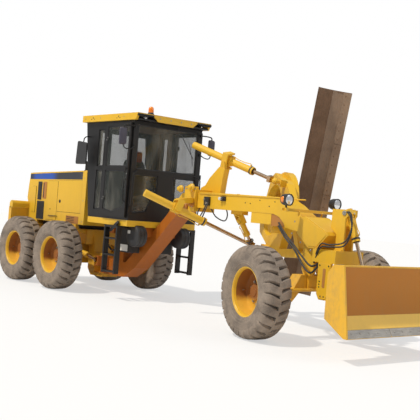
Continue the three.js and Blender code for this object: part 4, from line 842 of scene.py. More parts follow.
roof.use(ZINC).bolts([(FORE - 0.002, y, 3.335) for y in (-0.36, -0.12, 0.12, 0.36)], (1, 0, 0), 0.009, 0.006)
roof.use(YELLOW).prism([(BACK, LOW), (BACK, HIGH), (BACK + 0.02, HIGH), (BACK + 0.02, LOW)], -0.80, 0.80, plane="xz")
for x in (-5.2, -4.7, -4.2):
    roof.prism(rounded([(x - 0.16, -0.62), (x + 0.16, -0.62), (x + 0.16, 0.62), (x - 0.16, 0.62)], 0.04), HIGH - 0.012, HIGH + 0.002)
roof.make("front_frame", "yellow_paint", "cab_roof", bevel=0.003, segments=1)

beacon = Piece("amber_beacon")
spot = axes_frame((-3.78, -0.50, HIGH - 0.002), (1, 0, 0), (0, 1, 0))
beacon.use(PLASTIC).lathe([(0, 0), (0.062, 0), (0.062, 0.014), (0.05, 0.03), (0.05, 0.04), (0, 0.04)], 32, spot)
beacon.use(AMBER).lathe([(0, 0.038), (0.047, 0.038), (0.049, 0.05), (0.046, 0.11), (0.038, 0.135), (0.022, 0.148), (0, 0.152)], 32, spot)
for k in range(4):
    beacon.lathe([(0.0465, 0.058 + 0.014 * k), (0.0505, 0.061 + 0.014 * k), (0.0465, 0.064 + 0.014 * k)], 32, spot, closed=True)
beacon.make("front_frame", None)

# %% [markdown]
# ## Inside the cab
#
# What shows through the glass is a brown lining, the levers on both sides of the steering column, the wheel
# and the seat. The lining panels follow the walls a little inside them.

# %% Lining, controls and wheel
lining = Piece("cab_lining")
lining.use(LINING).prism(rounded([(-5.40, -0.70), (-3.92, -0.70), (-3.92, 0.70), (-5.40, 0.70)], 0.06), 3.215, 3.262)
lining.prism([(-5.135, 1.47), (-5.292, 2.44), (-5.262, 2.44), (-5.105, 1.47)], -0.70, 0.70, plane="xz")
for side in (-1, 1):
    for x0, x1 in ((-5.13, -5.04), (-4.82, -4.70)):
        lining.prism(rounded([(x0, side * 0.715), (x1, side * 0.715), (x1, side * 0.69), (x0, side * 0.69)], 0.01), 1.50, 3.235)
    lining.prism([(-5.05, 1.47), (-5.05, 1.60), (-4.72, 1.60), (-4.72, 1.47)], min(side * 0.69, side * 0.715), max(side * 0.69, side * 0.715), plane="xz")
lining.use(PLASTIC).prism(rounded([(-5.05, -0.68), (-3.93, -0.68), (-3.93, 0.68), (-5.05, 0.68)], 0.05), 1.467, 1.479)
lining.make("front_frame", "seat_cloth", bevel=0.004)

controls = Piece("steering_column_and_levers")
controls.use(BLACK).prism(rounded([(-4.08, -0.11), (-3.96, -0.11), (-3.96, 0.11), (-4.08, 0.11)], 0.03), 1.467, 2.13)
controls.prism(rounded([(-4.10, 2.10), (-3.955, 2.10), (-3.97, 2.24), (-4.16, 2.21)], 0.03), -0.24, 0.24, plane="xz")
lean = np.array([-0.62, 0.0, 0.78])
controls.rod((-4.07, 0, 2.16), np.array([-4.07, 0, 2.16]) + lean * 0.16, 0.026)
hub = np.array([-4.07, 0, 2.16]) + lean * 0.155
wheel_spot = axes_frame(hub, (0, 1, 0), np.cross(lean, (0, 1, 0)))
rim_angle = np.linspace(0, 2 * np.pi, 40, endpoint=False)
section = np.linspace(0, 2 * np.pi, 10, endpoint=False)
ring = np.stack([np.cos(rim_angle)[:, None] * (0.205 + 0.013 * np.cos(section)),
                 np.sin(rim_angle)[:, None] * (0.205 + 0.013 * np.cos(section)),
                 0.02 + 0.013 * np.sin(section) + 0 * rim_angle[:, None]], -1)
controls.use(PLASTIC).grid(ring, wrap_u=True, wrap_v=True, place=wheel_spot)
controls.lathe([(0, 0), (0.045, 0), (0.04, 0.02), (0, 0.024)], 24, wheel_spot)
for angle in np.radians((90, 210, 330)):
    controls.rod((0, 0, 0.012), (0.2 * math.cos(angle), 0.2 * math.sin(angle), 0.02), 0.009, 8, place=wheel_spot)
for side in (-1, 1):
    for k in range(5):
        y = side * (0.05 + 0.042 * (k + 1)) * 1.0
        foot, top = np.array([-4.10, y, 2.20]), np.array([-4.14, y * 1.12, 2.34 + 0.01 * (k % 2)])
        controls.use(CHROME).rod(foot, top, 0.005, 8)
        controls.use(PLASTIC).lathe([(0, -0.014), (0.010, -0.012), (0.014, 0.0), (0.011, 0.014), (0, 0.018)], 12,
                                    axes_frame(top, (1, 0, 0), (0, 1, 0)))
controls.make("front_frame", "black_paint", "steering_console", bevel=0.003)

# %% [markdown]
# ## Seat
#
# A cushion is crowned: its top swells and its sides pull in between the corners. Each pad here is a closed
# superellipse shell whose thickness grows towards the middle, with channels pressed across it by a cosine.

# %% Seat pads
def pad(piece, centre, size, tilt=0.0, channels=4, crown=0.35):
    """A crowned pad: a rounded box in (u, v) whose top and bottom swell by (1-u^4)(1-v^4), with sewn channels."""
    steps = 28
    theta = np.linspace(-np.pi / 2, np.pi / 2, steps)[:, None]
    phi = np.linspace(0, 2 * np.pi, 2 * steps, endpoint=False)[None]
    power = lambda value, k: np.sign(value) * np.abs(value) ** k
    x = power(np.cos(theta), 0.45) * power(np.cos(phi), 0.35)
    y = power(np.cos(theta), 0.45) * power(np.sin(phi), 0.35)
    z = power(np.sin(theta), 0.55) + 0 * phi
    swell = 1 + crown * (1 - x ** 4).clip(0) * (1 - y ** 4).clip(0)
    groove = 1 - 0.10 * np.exp(-((np.mod(x * channels / 2 + 0.5, 1) - 0.5) / 0.07) ** 2) * (np.abs(y) < 0.86)
    points = np.stack([x * size[0] / 2, y * size[1] / 2, z * size[2] / 2 * swell * groove / (1 + crown)], -1)
    place = axes_frame(centre, (math.cos(tilt), 0, math.sin(tilt)), (0, 1, 0))
    piece.grid(points, wrap_v=True, caps=True, place=place)


ORANGE_CLOTH = plain("orange_headrest_cloth", (0.52, 0.075, 0.03), 0.85, 0.0, 240.0, 0.0012, 0.2)
cushion = Piece("seat_cushions").use(SEAT_CLOTH)
pad(cushion, (-4.60, 0, 1.865), (0.50, 0.49, 0.13), tilt=0.06)
pad(cushion, (-4.90, 0, 2.26), (0.74, 0.48, 0.13), tilt=-1.47, channels=5)
cushion.use(ORANGE_CLOTH)
pad(cushion, (-4.925, 0, 2.69), (0.22, 0.34, 0.10), tilt=-1.50, channels=1)
seat = cushion.make("front_frame", "seat_cloth", "seat", smooth=60)

seat_frame = Piece("seat_base_and_arms")
seat_frame.use(PLASTIC).prism(rounded([(-4.84, -0.22), (-4.37, -0.22), (-4.37, 0.22), (-4.84, 0.22)], 0.04), 1.72, 1.80)
seat_frame.use(BLACK).prism(rounded([(-4.78, -0.17), (-4.42, -0.17), (-4.42, 0.17), (-4.78, 0.17)], 0.03), 1.469, 1.53)
for k in range(5):
    seat_frame.use(HOSE).lathe([(0, 0), (0.12, 0), (0.145, 0.02), (0.12, 0.04), (0, 0.04)], 24,
                               axes_frame((-4.6, 0, 1.53 + 0.038 * k), (1, 0, 0), (0, 1, 0)))
for side in (-1, 1):
    arm = curve_through([(-4.90, side * 0.255, 2.02), (-4.80, side * 0.275, 2.06), (-4.62, side * 0.28, 2.065), (-4.50, side * 0.28, 2.06)], 14)
    seat_frame.use(PLASTIC).tube(arm, [0.02] + [0.027] * 12 + [0.018], 10)
    seat_frame.use(LABEL).rod((-4.965, side * 0.13, 2.52), (-4.965, side * 0.13, 2.78), 0.008, 8)
seat_frame.make("front_frame", "black_paint", bevel=0.003)

# %% [markdown]
# ## Wiper, mirrors and grab rails
#
# Slim parts stand off the cab on bent tube. Each is one tube along a smooth curve through a few points.

# %% Slim parts round the cab
slim = Piece("wiper_and_grab_rails")
slim.use(PLASTIC).rod((-3.852, 0.20, 3.222), (-3.832, 0.20, 3.222), 0.018)
slim.tube(curve_through([(-3.838, 0.20, 3.22), (-3.834, 0.40, 2.96), (-3.838, 0.605, 2.70)], 12), 0.0065, 8)
slim.tube(curve_through([(-3.846, 0.47, 3.02), (-3.846, 0.56, 2.76), (-3.846, 0.61, 2.56)], 12), 0.005, 6)
for side in (-1, 1):
    rail = curve_through([(-3.852, side * 0.66, 2.36), (-3.80, side * 0.70, 2.352), (-3.79, side * 0.755, 2.32),
                          (-3.79, side * 0.772, 2.25), (-3.80, side * 0.772, 1.80), (-3.852, side * 0.755, 1.74)], 26)
    slim.use(BLACK).tube(rail, 0.012, 10)
slim.make("front_frame", "black_paint")

for side, label in ((-1, "right"), (1, "left")):
    mirror = Piece(f"mirror_{label}_assembly")
    head = rounded([(side * 0.945, 2.81), (side * 1.098, 2.80), (side * 1.096, 3.11), (side * 0.948, 3.118)], 0.035)
    shell = [np.column_stack([np.full(len(head), x), head.mean(0) + (head - head.mean(0)) * k])
             for x, k in ((-3.853, 0.97), (-3.838, 1.0), (-3.822, 0.95), (-3.817, 0.8))]
    mirror.use(MIRROR_BACK).grid(np.stack(shell), wrap_v=True, caps=True)
    mirror.use(CHROME).prism(head.mean(0) + (head - head.mean(0)) * 0.9, -3.8545, -3.852, plane="yz")
    arm = curve_through([(-3.828, side * 0.755, 3.165), (-3.826, side * 0.84, 3.168), (-3.826, side * 0.95, 3.165), (-3.828, side * 1.005, 3.15),
                         (-3.83, side * 1.02, 3.10)], 18)
    mirror.use(BLACK).tube(arm, 0.012, 10)
    loop = curve_through([(-3.832, side * 1.01, 2.82), (-3.828, side * 0.99, 2.765), (-3.822, side * 0.94, 2.742), (-3.82, side * 0.85, 2.752),
                          (-3.826, side * 0.80, 2.775), (-3.838, side * 0.765, 2.80)], 22)
    mirror.tube(loop, 0.010, 10)
    for z in (3.165, 2.80):
        mirror.box((-3.8495, min(side * 0.735, side * 0.772), z - 0.022), (-3.822, max(side * 0.735, side * 0.772), z + 0.022))
    mirror.make("front_frame", "black_paint", f"mirror_{label}", bevel=0.003, segments=1)

plate = Piece("rear_view_plate")
outline = rounded([(-5.50, 2.45), (-5.12, 2.45), (-5.14, 2.86), (-5.47, 2.90)], 0.05)
shell = [np.column_stack([outline[:, 0], np.full(len(outline), y), outline[:, 1]]) for y in (-0.975, -0.96, -0.945)]
plate.use(PLASTIC).grid(np.stack(shell), wrap_v=True, caps=True)
plate.use(BLACK).tube(curve_through([(-5.30, -0.945, 2.86), (-5.30, -0.93, 2.95), (-5.31, -0.86, 2.99), (-5.33, -0.785, 2.99)], 14), 0.011, 10)
plate.make("front_frame", "black_paint", bevel=0.004)
# %% [markdown]
# ## Under the cab
#
# The ladder gets grip treads, and the space behind it an air tank, a battery box and the cab's mounts.

# %% Steps, tank and box
under = Piece("steps_and_tank")
for side in (-1, 1):
    for z in (0.50, 0.80, 1.10):
        y0, y1 = sorted((side * 0.79, side * 0.905))
        under.use(BLACK).box((-4.36, y0, z + 0.012), (-4.01, y1, z + 0.024))
        for k in range(9):
            x = -4.34 + 0.039 * k
            under.prism([(x, y0 + 0.01), (x + 0.012, y0 + 0.01), (x + 0.012, y1 - 0.01), (x, y1 - 0.01)], z + 0.022, z + 0.029)
    spot = axes_frame((-3.91, side * 0.50, 1.19), (1, 0, 0), (0, 0, -side))
    drum = [(0, -0.12), (0.15, -0.12), (0.19, -0.10), (0.20, -0.06), (0.20, 0.07), (0.194, 0.095), (0.17, 0.112), (0.09, 0.12), (0, 0.12)]
    under.use(PLASTIC).lathe(drum, 44, spot)
    for r, h in ((0.203, -0.03), (0.203, 0.045)):
        under.use(BLACK).lathe([(0.198, h - 0.012), (r, h - 0.010), (r, h + 0.010), (0.198, h + 0.012)], 44, spot, closed=True)
    y0, y1 = sorted((side * 0.615, side * 0.6235))
    under.use(LABEL).prism(rounded([(-4.035, 1.225), (-3.955, 1.225), (-3.955, 1.285), (-4.035, 1.285)], 0.008), y0, y1, plane="xz")
    y0, y1 = sorted((side * 0.25, side * 0.50))
    under.use(BLACK).prism(rounded([(-4.62, 0.86), (-4.15, 0.86), (-4.15, 1.34), (-4.62, 1.34)], 0.02), y0, y1, plane="xz")
    y0, y1 = sorted((side * 0.498, side * 0.505))
    under.use(LABEL).prism(rounded([(-4.44, 0.885), (-4.18, 0.885), (-4.18, 1.005), (-4.44, 1.005)], 0.01), y0, y1, plane="xz")
    under.use(ZINC).bolts([(-4.55, side * 0.50, z) for z in (0.92, 1.28)], (0, side, 0), 0.010, 0.008)
    under.use(PLASTIC).prism([(-4.34, 1.27), (-4.10, 1.44), (-4.06, 1.44), (-4.06, 1.40), (-4.31, 1.23)], *sorted((side * 0.80, side * 0.83)), plane="xz")
    under.use(BLACK).tube(curve_through([(-5.05, side * 0.40, 1.36), (-5.0, side * 0.44, 1.05), (-4.82, side * 0.42, 0.86), (-4.62, side * 0.36, 0.95)], 20), 0.016, 8)
under.make("front_frame", "black_paint", bevel=0.003, segments=1)
# %% [markdown]
# ## Main beam and nose
#
# A welded box beam has a cap plate, inspection plugs and lift lugs. Hydraulic pipes run along its top edge.
# Around the saddle sit heavy castings; in front, the ball socket of the drawbar hangs under the beam.

# %% Beam fittings
beam = Piece("beam_fittings")
beam.use(YELLOW).prism([(-2.60, -0.183), (-0.80, -0.183), (-0.80, 0.183), (-2.60, 0.183)], 2.032, 2.047)
for side in (-1, 1):
    beam.use(YELLOW).rod((-2.62, side * 0.168, 2.058), (-0.42, side * 0.176, 2.040), 0.011, 10)
    for x in (-2.3, -1.6, -0.9):
        beam.box((x - 0.02, side * 0.168 - 0.018, 2.045), (x + 0.02, side * 0.168 + 0.018, 2.066))
    beam.use(BLACK)
    for x, z in ((-1.42, 1.93), (-1.30, 1.925), (-1.08, 1.985), (-0.86, 1.90), (-0.74, 1.975)):
        beam.bolts([(x, side * 0.169, z)], (0, side, 0), 0.008, 0.006)
    beam.use(PLASTIC).box((-2.42, min(side * 0.168, side * 0.215), 1.84), (-2.30, max(side * 0.168, side * 0.215), 1.99))
    beam.use(ZINC).rod((-2.39, side * 0.20, 1.94), (-2.39, side * 0.245, 1.94), 0.016, 12)
    beam.rod((-2.33, side * 0.20, 1.88), (-2.33, side * 0.245, 1.88), 0.014, 12)
    beam.use(PLASTIC).box((-2.01, min(side * 0.168, side * 0.20), 1.935), (-1.90, max(side * 0.168, side * 0.20), 2.01))
    beam.use(LABEL).rod((-2.00, side * 0.20, 1.972), (-2.00, side * 0.238, 1.972), 0.026, 20)
    beam.use(PLASTIC).rod((-1.93, side * 0.20, 1.972), (-1.93, side * 0.235, 1.972), 0.020, 16)
beam.use(YELLOW).box((-1.26, -0.165, 1.62), (-0.80, 0.165, 1.80))
# The block's forward part is painted shade: the same block in dark brown.
beam.use(SHADE_BROWN).box((-0.80, -0.16, 1.60), (-0.52, 0.16, 1.80))
for k in range(5):
    beam.use(YELLOW).prism(rounded([(-3.00 + 0.075 * k, 2.03), (-2.95 + 0.075 * k, 2.03), (-2.955 + 0.075 * k, 2.155), (-2.995 + 0.075 * k, 2.155)], 0.015), -0.19, -0.155, plane="xz")
beam.make("front_frame", "yellow_paint", bevel=0.003, segments=1)

cast = Piece("saddle_castings")
for side in (-1,):
    for x, z, r in ((-2.74, 2.13, 0.062), (-3.04, 2.10, 0.055), (-2.90, 1.80, 0.070), (-3.06, 1.83, 0.05), (-2.70, 1.84, 0.045)):
        spot = axes_frame((x, side * 0.235, z), (1, 0, 0), (0, 0, -side))
        shape = [(0, 0), (r * 1.15, 0), (r * 1.1, 0.03), (r * 0.8, 0.045), (r * 0.72, 0.075), (r * 0.45, 0.085), (0, 0.088)]
        # Castings below z = 2.0 get painted shade in dark brown; those above stay yellow.
        cast.use(SHADE_BROWN if z < 2.0 else YELLOW).lathe(shape, 28, spot)
        cast.use(ZINC).bolts([(x + r * 0.95 * math.cos(a), side * 0.262, z + r * 0.95 * math.sin(a)) for a in (0.6, 2.2, 3.8, 5.3)], (0, side, 0), 0.009, 0.008)
for y in (-0.2, 0.2):
    cast.use(ZINC).bolts([(x, y * 1.05, 2.105) for x in (-2.92, -2.68)], (0, 0, 1), 0.018, 0.016)
cast.make("front_frame", "yellow_paint", bevel=0.003, segments=1)

# %% Nose covers, towers and lamps
nose = Piece("nose_covers")
nose.use(YELLOW).prism(rounded([(-0.09, -0.235), (0.015, -0.235), (0.015, 0.235), (-0.09, 0.235)], 0.01), 1.782, 1.792)
for side in (-1, 1):
    nose.use(YELLOW).prism([(-0.10, 1.54), (0.11, 1.36), (0.26, 1.36), (0.445, 1.545), (0.42, 1.575), (0.02, 1.755)],
                           *sorted((side * 0.249, side * 0.256)), plane="xz")
    nose.use(ZINC).bolts([(x, side * 0.252, z) for x, z in ((-0.20, 1.70), (-0.24, 1.52), (-0.05, 1.40), (0.16, 1.30))], (0, side, 0), 0.010, 0.008)
    y0, y1 = sorted((side * 0.300, side * 0.309))
    nose.use(YELLOW).prism(rounded([(0.39, 0.71), (0.44, 0.635), (0.55, 0.635), (0.608, 0.71), (0.608, 1.14), (0.39, 1.14)], 0.02), y0, y1, plane="xz")
    y0, y1 = sorted((side * 0.307, side * 0.3115))
    # A dark brown plate on the tower's side: painted shade.
    nose.use(SHADE_BROWN).prism(rounded([(0.485, 0.80), (0.535, 0.79), (0.54, 1.07), (0.485, 1.07)], 0.02), y0, y1, plane="xz")
    nose.use(BLACK).bolts([(x, side * 0.310, z) for x, z in ((0.43, 0.88), (0.43, 0.84), (0.43, 0.80), (0.42, 1.11), (0.585, 1.11), (0.47, 0.67), (0.53, 0.67))],
                          (0, side, 0), 0.008, 0.005)
    nose.use(YELLOW).prism([(0.50, 1.33), (0.64, 1.33), (0.64, 1.35), (0.50, 1.35)], *sorted((side * 0.06, side * 0.135)), plane="xz")
    nose.use(ZINC).rod((0.63, side * 0.104, 1.88), (0.63, side * 0.125, 1.88), 0.036, 20)
    nose.bolts([(0.63, side * 0.124, 1.88)], (0, side, 0), 0.016, 0.008)
nose.make("front_frame", "yellow_paint", bevel=0.003, segments=1)

lamps = Piece("nose_lamps")
lamps.use(YELLOW).box((-0.148, -0.598, 1.842), (-0.140, 0.598, 1.888)).box((-0.148, -0.598, 1.842), (-0.084, 0.598, 1.850))
for side in (-1, 1):
    y = side * 0.525
    shell = axes_frame((-0.21, y, 2.01), (0, 1, 0), (0, 0, 1))
    lamps.use(PLASTIC).lathe([(0, 0), (0.050, 0), (0.074, 0.012), (0.084, 0.045), (0.086, 0.120), (0.0885, 0.124), (0.0885, 0.140),
                              (0.078, 0.140), (0.074, 0.128), (0.0, 0.128)], 40, shell)
    lamps.use(LENS).lathe([(0, 0.126), (0.0745, 0.126), (0.072, 0.131), (0.05, 0.136), (0.025, 0.1385), (0, 0.139)], 40, shell)
    amber = axes_frame((-0.145, y + side * 0.052, 2.01), (1, 0, 0), (0, 0, -side))
    lamps.use(AMBER).lathe([(0, 0), (0.048, 0), (0.048, 0.012), (0.044, 0.024), (0.032, 0.0335), (0.016, 0.0375), (0, 0.038)], 28, amber)
    lamps.use(BLACK).rod((-0.13, y, 1.885), (-0.14, y, 1.935), 0.014, 10)
    lamps.use(YELLOW).prism([(-0.145, 1.84), (-0.095, 1.84), (-0.11, 1.89), (-0.145, 1.90)], y - 0.03, y + 0.03, plane="xz")
lamps.rod((-0.145, -0.25, 1.785), (-0.12, -0.25, 1.86), 0.014, 10).rod((-0.145, 0.25, 1.785), (-0.12, 0.25, 1.86), 0.014, 10)
lamps.make("front_frame", None, "lamp_bar", bevel=0.002, segments=1)
# %% [markdown]
# ## Blades
#
# Both blades are curved skins with bolt-on cutting edges. The curve of the moldboard in its own frame is
# x(t) = -0.11 + 0.02 t - 0.46 t (1 - t), z(t) = -0.245 - 0.61 t, with t from the top edge to the cutting edge.

# %% Moldboard facings and edges
slide_axis, turn_axis = np.array(JOINTS["moldboard_side_shift"]["axis"]), np.array(JOINTS["circle_turn"]["axis"])
blade_y, blade_z = -slide_axis, -turn_axis
blade_x = np.cross(blade_y, blade_z)
BLADE_PLACE = axes_frame(joint_place("circle_turn") + 0.4 * blade_y, blade_x, blade_y)


def facing(curve, t0, t1, lift, thick):
    """A strip that follows a blade's curve between two values of t, at a small height over its face."""
    t = np.linspace(t0, t1, 12)
    line = np.array([curve(v) for v in t])
    return np.vstack([line + [lift, 0], (line + [lift - thick, 0])[::-1]])


def mold_curve(t):
    return (-0.11 + 0.02 * t - 0.46 * t * (1 - t), -0.245 - 0.61 * t)


mold = Piece("moldboard_facings", BLADE_PLACE)
mold.use(BLADE_LIGHT).prism(facing(mold_curve, 0.50, 0.80, 0.005, 0.010), -1.822, 1.822, plane="xz")
mold.use(BLADE_STEEL).prism(facing(mold_curve, 0.01, 0.06, 0.005, 0.010), -1.822, 1.822, plane="xz")
for k in range(4):
    y = -1.82 + 0.912 * k
    mold.use(BLADE_LIGHT if k % 2 else BLADE_LIGHT).prism(facing(mold_curve, 0.79, 0.995, 0.016, 0.022), y, y + 0.904, plane="xz")
for y in np.arange(-1.74, 1.80, 0.152):
    x, z = mold_curve(0.86)
    mold.use(BLADE_STEEL).bolts([(x + 0.0155, y, z)], (1, 0, 0.25), 0.009, 0.004)
for y in (-1.828, 1.80):
    mold.use(BLADE_STEEL).prism(facing(mold_curve, 0.62, 0.99, 0.010, 0.050), y, y + 0.026, plane="xz")
mold.make("moldboard", "worn_steel", bevel=0.002, segments=1)

# %% Dozer blade facings, edge and bolts
def dozer_curve(t):
    return (1.71 + 0.15 * t - 0.57 * t * (1 - t), 1.22 - 0.89 * t)


dozer = Piece("dozer_blade_facings")
# The blade's face carries painted shade: the dark orange-brown enamel.
dozer.use(BLADE_FACE_SHADE).prism(facing(dozer_curve, 0.02, 0.72, 0.004, 0.008), -1.283, 1.283, plane="xz")
x1, z1 = dozer_curve(0.70)
# The lip below the face carries painted light: a lighter yellow than the rest of the enamel.
dozer.use(LIP_PAINTED_LIGHT).prism([(x1 + 0.004, z1), (1.802, 0.437), (1.785, 0.425), (x1 - 0.012, z1 - 0.01)], -1.283, 1.283, plane="xz")
for k in range(3):
    y = -1.283 + 0.858 * k
    dozer.use(EDGE_STEEL).prism([(1.802, 0.434), (1.857, 0.336), (1.838, 0.332), (1.782, 0.428)], y, y + 0.850, plane="xz")
for y in np.arange(-1.19, 1.25, 0.17):
    dozer.use(EDGE_STEEL).bolts([(1.826, y, 0.392)], (0.87, 0, 0.49), 0.015, 0.005)
dozer.use(YELLOW).prism([(1.565, 1.216), (1.700, 1.216), (1.700, 1.196), (1.565, 1.196)], -1.283, 1.283, plane="xz")
for y in np.arange(-1.05, 1.06, 0.42):
    dozer.prism([(1.50, 0.70), (1.62, 0.70), (1.61, 0.98), (1.50, 0.98)], y - 0.01, y + 0.01, plane="xz")
for side in (-1, 1):
    y0, y1 = sorted((side * 0.228, side * 0.236))
    dozer.use(YELLOW).prism(rounded([(0.98, 0.74), (1.42, 0.62), (1.42, 0.96), (1.05, 0.99)], 0.03), y0, y1, plane="xz")
    dozer.use(ZINC).rod((0.99, side * 0.20, 1.01), (0.99, side * 0.243, 1.01), 0.030, 20)
    dozer.rod((0.47, side * 0.20, 0.74), (0.47, side * 0.232, 0.74), 0.052, 24)
dozer.make("dozer", "yellow_paint", bevel=0.002, segments=1)
# %% [markdown]
# ## Cylinders and hoses
#
# Each barrel gets a gland nut with a wiper ring, two ports and a hard pipe between them, all riding on the
# barrel. The hoses that reach across to the frame are short fixed loops on the part that carries them.

# %% Glands, ports and pipes
SHAPES = {"lift_cylinder_left": (0.062, 0.56), "lift_cylinder_right": (0.062, 0.56), "centre_shift_cylinder": (0.052, 0.46),
          "articulation_cylinder_left": (0.046, 0.30), "articulation_cylinder_right": (0.046, 0.30), "dozer_cylinder": (0.050, 0.43)}
for name, (radius, reach) in SHAPES.items():
    along = np.array(JOINTS[f"{name}_stroke"]["axis"])
    start = joint_place(f"{name}_swing")
    centre = frame["nodes"][f"{name}_rod"].data.vertices
    rod_middle = np.mean([np.array(frame["nodes"][f"{name}_rod"].matrix_world @ v.co) for v in centre], axis=0) - HOME
    along = along if (rod_middle - start) @ along > 0 else -along
    upward = np.array([0, 0, 1.0]) if name not in ("lift_cylinder_right", "centre_shift_cylinder") else np.array([0, 0, -1.0])
    up = upward - along * (along @ upward)
    up /= np.linalg.norm(up)
    spot = axes_frame(start, np.cross(up, along), up)
    r = radius + 0.008
    fit = Piece(f"{name}_gland_and_pipe", spot)
    fit.use(DARK_GREY).lathe([(r, reach - 0.058), (r + 0.004, reach - 0.054), (r + 0.004, reach - 0.034), (r, reach - 0.030)], 36, closed=True)
    fit.use(BLACK).lathe([(radius * 0.62, reach + 0.0005), (radius * 0.92, reach + 0.0005), (radius * 0.88, reach + 0.007), (radius * 0.64, reach + 0.007)], 36, closed=True)
    for z in (0.03, reach - 0.085):
        fit.use(YELLOW).rod((0, radius - 0.006, z), (0, radius + 0.022, z), 0.017, 14)
        fit.use(ZINC).rod((0, radius + 0.020, z), (0, radius + 0.034, z), 0.012, 6)
    pipe = curve_through([(0, radius + 0.030, reach - 0.085), (0, radius + 0.036, reach - 0.12), (0, radius + 0.022, reach * 0.6),
                          (0, radius + 0.022, reach * 0.3), (0, radius + 0.036, 0.10), (0.02, radius + 0.030, 0.06)], 30)
    fit.use(YELLOW).tube(pipe, 0.007, 8)
    fit.make(f"{name}_barrel", "yellow_paint", smooth=35)

# %% Fixed hose loops
loops = Piece("hose_loops")
loops.use(HOSE)
for lift in (0.0, 0.05):
    loops.tube(curve_through([(-0.60, -0.19, 1.66 - lift), (-0.35, -0.28, 1.50 - lift), (-0.12, -0.29, 1.33 - lift), (0.05, -0.30, 1.20 - lift * 2),
                              (0.24, -0.30, 1.08 - lift * 2), (0.40, -0.26, 1.16)], 30), 0.015, 8)
    loops.tube(curve_through([(0.26, -0.27, 1.13 + lift), (0.42, -0.33, 1.36 + lift), (0.58, -0.31, 1.385 + lift * 0.6), (0.76, -0.22, 1.42 + lift),
                              (0.80, -0.135, 1.62 + lift), (0.76, -0.125, 1.82 + lift), (0.68, -0.118, 1.90)], 34), 0.011, 8)
for shift in (0.0, 0.045):
    loops.tube(curve_through([(-2.36 + shift, -0.20, 1.90), (-2.34 + shift, -0.27, 1.76), (-2.40 + shift, -0.31, 1.62 - shift), (-2.52, -0.26, 1.60 - shift),
                              (-2.60, -0.18, 1.72), (-2.62, -0.12, 1.80)], 30), 0.011, 8)
loops.tube(curve_through([(-2.36, 0.20, 1.90), (-2.34, 0.27, 1.72), (-2.44, 0.30, 1.60), (-2.56, 0.20, 1.66), (-2.62, 0.12, 1.80)], 26), 0.011, 8)
loops.make("front_frame", None, smooth=50)
# %% [markdown]
# ## Floor, light and camera
#
# A pale floor and a soft, even studio light show the colours as they are. One large warm lamp from the front
# left stands for the sun. The camera stands at chest height ahead of the machine on its right-hand side.

# %% Floor
floor_mesh = bpy.data.meshes.new("pale_floor")
reach = 60.0
floor_mesh.from_pydata([(-reach, -reach, 0), (reach, -reach, 0), (reach, reach, 0), (-reach, reach, 0)], [], [(0, 1, 2, 3)])
floor = bpy.data.objects.new("pale_floor", floor_mesh)
bpy.context.scene.collection.objects.link(floor)
pale = Finish("pale_floor_finish")
rays = pale.nodes.new("ShaderNodeLightPath")
seen = pale.node("Math", {"operation": "MAXIMUM"}, {0: Field(pale, rays.outputs["Is Camera Ray"]), 1: 0.0})
glow = pale.nodes.new("ShaderNodeEmission")
glow.inputs["Color"].default_value = (1.0, 1.0, 1.0, 1.0)
pale.set(colour=(0.86, 0.86, 0.86), roughness=0.9)
blend = pale.nodes.new("ShaderNodeMixShader")
blend.inputs[0].default_value = 0.55
pale.links.new(pale.shader.outputs[0], blend.inputs[1])
pale.links.new(glow.outputs[0], blend.inputs[2])
choose = pale.nodes.new("ShaderNodeMixShader")
pale.links.new(seen.socket, choose.inputs[0])
pale.links.new(pale.shader.outputs[0], choose.inputs[1])
pale.links.new(blend.outputs[0], choose.inputs[2])
pale.links.new(choose.outputs[0], pale.output.inputs[0])
floor_mesh.materials.append(pale.material)

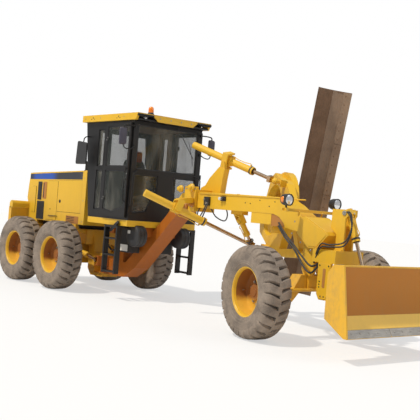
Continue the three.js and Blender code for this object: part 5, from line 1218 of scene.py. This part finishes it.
# %% World: even light, and white where the camera or the glass sees it
world = bpy.data.worlds.new("studio_world")
bpy.context.scene.world = world
world.use_nodes = True
tree = world.node_tree
tree.nodes.clear()
sky_out = tree.nodes.new("ShaderNodeOutputWorld")
soft, bright, choose = (tree.nodes.new(f"ShaderNode{kind}") for kind in ("Background", "Background", "MixShader"))
soft.inputs["Color"].default_value, soft.inputs["Strength"].default_value = (0.95, 0.97, 1.0, 1.0), 0.42
bright.inputs["Color"].default_value, bright.inputs["Strength"].default_value = (1.0, 1.0, 1.0, 1.0), 1.0
path = tree.nodes.new("ShaderNodeLightPath")
both = tree.nodes.new("ShaderNodeMath")
both.operation, both.use_clamp = "ADD", True
more = tree.nodes.new("ShaderNodeMath")
more.operation, more.use_clamp = "ADD", True
tree.links.new(path.outputs["Is Camera Ray"], both.inputs[0])
both.inputs[1].default_value = 0.0
tree.links.new(both.outputs[0], more.inputs[0])
tree.links.new(path.outputs["Is Transmission Ray"], more.inputs[1])
tree.links.new(more.outputs[0], choose.inputs[0])
tree.links.new(soft.outputs[0], choose.inputs[1])
tree.links.new(bright.outputs[0], choose.inputs[2])
tree.links.new(choose.outputs[0], sky_out.inputs[0])


def sun(name, toward, strength, spread, colour):
    """A distant lamp that shines from a direction given in machine coordinates."""
    lamp = bpy.data.lights.new(name, "SUN")
    lamp.energy, lamp.angle, lamp.color = strength, math.radians(spread), colour
    holder = bpy.data.objects.new(name, lamp)
    holder.rotation_mode = "QUATERNION"
    holder.rotation_quaternion = Vector(toward).to_track_quat("Z", "Y")
    bpy.context.scene.collection.objects.link(holder)


sun("key_sun", (-0.10, -0.66, 1.0), 2.7, 2.5, (1.0, 0.94, 0.84))
sun("fill_sun", (0.7, 0.5, 0.6), 0.5, 40.0, (0.92, 0.96, 1.0))

# %% Camera
CAMERA_PLACE = HOME + [8.303, -8.980, 1.763]
heading, pitch, roll = (math.radians(a) for a in (140.252, 0.026, 4.624))
ahead = np.array([math.cos(heading) * math.cos(pitch), math.sin(heading) * math.cos(pitch), math.sin(pitch)])
level_right = np.cross(ahead, [0, 0, 1])
level_right /= np.linalg.norm(level_right)
level_up = np.cross(level_right, ahead)
right = level_right * math.cos(roll) + level_up * math.sin(roll)
up = -level_right * math.sin(roll) + level_up * math.cos(roll)
view = np.eye(4)
view[:3, 0], view[:3, 1], view[:3, 2], view[:3, 3] = right, up, -ahead, CAMERA_PLACE
lens = bpy.data.cameras.new("camera")
lens.sensor_width, lens.lens = 36.0, 36.0 * 813.5 / 420
lens.clip_end = 300.0
camera = bpy.data.objects.new("camera", lens)
camera.matrix_world = Matrix(view.tolist())
bpy.context.scene.collection.objects.link(camera)
bpy.context.scene.camera = camera
bpy.context.scene.view_settings.view_transform = "Standard"
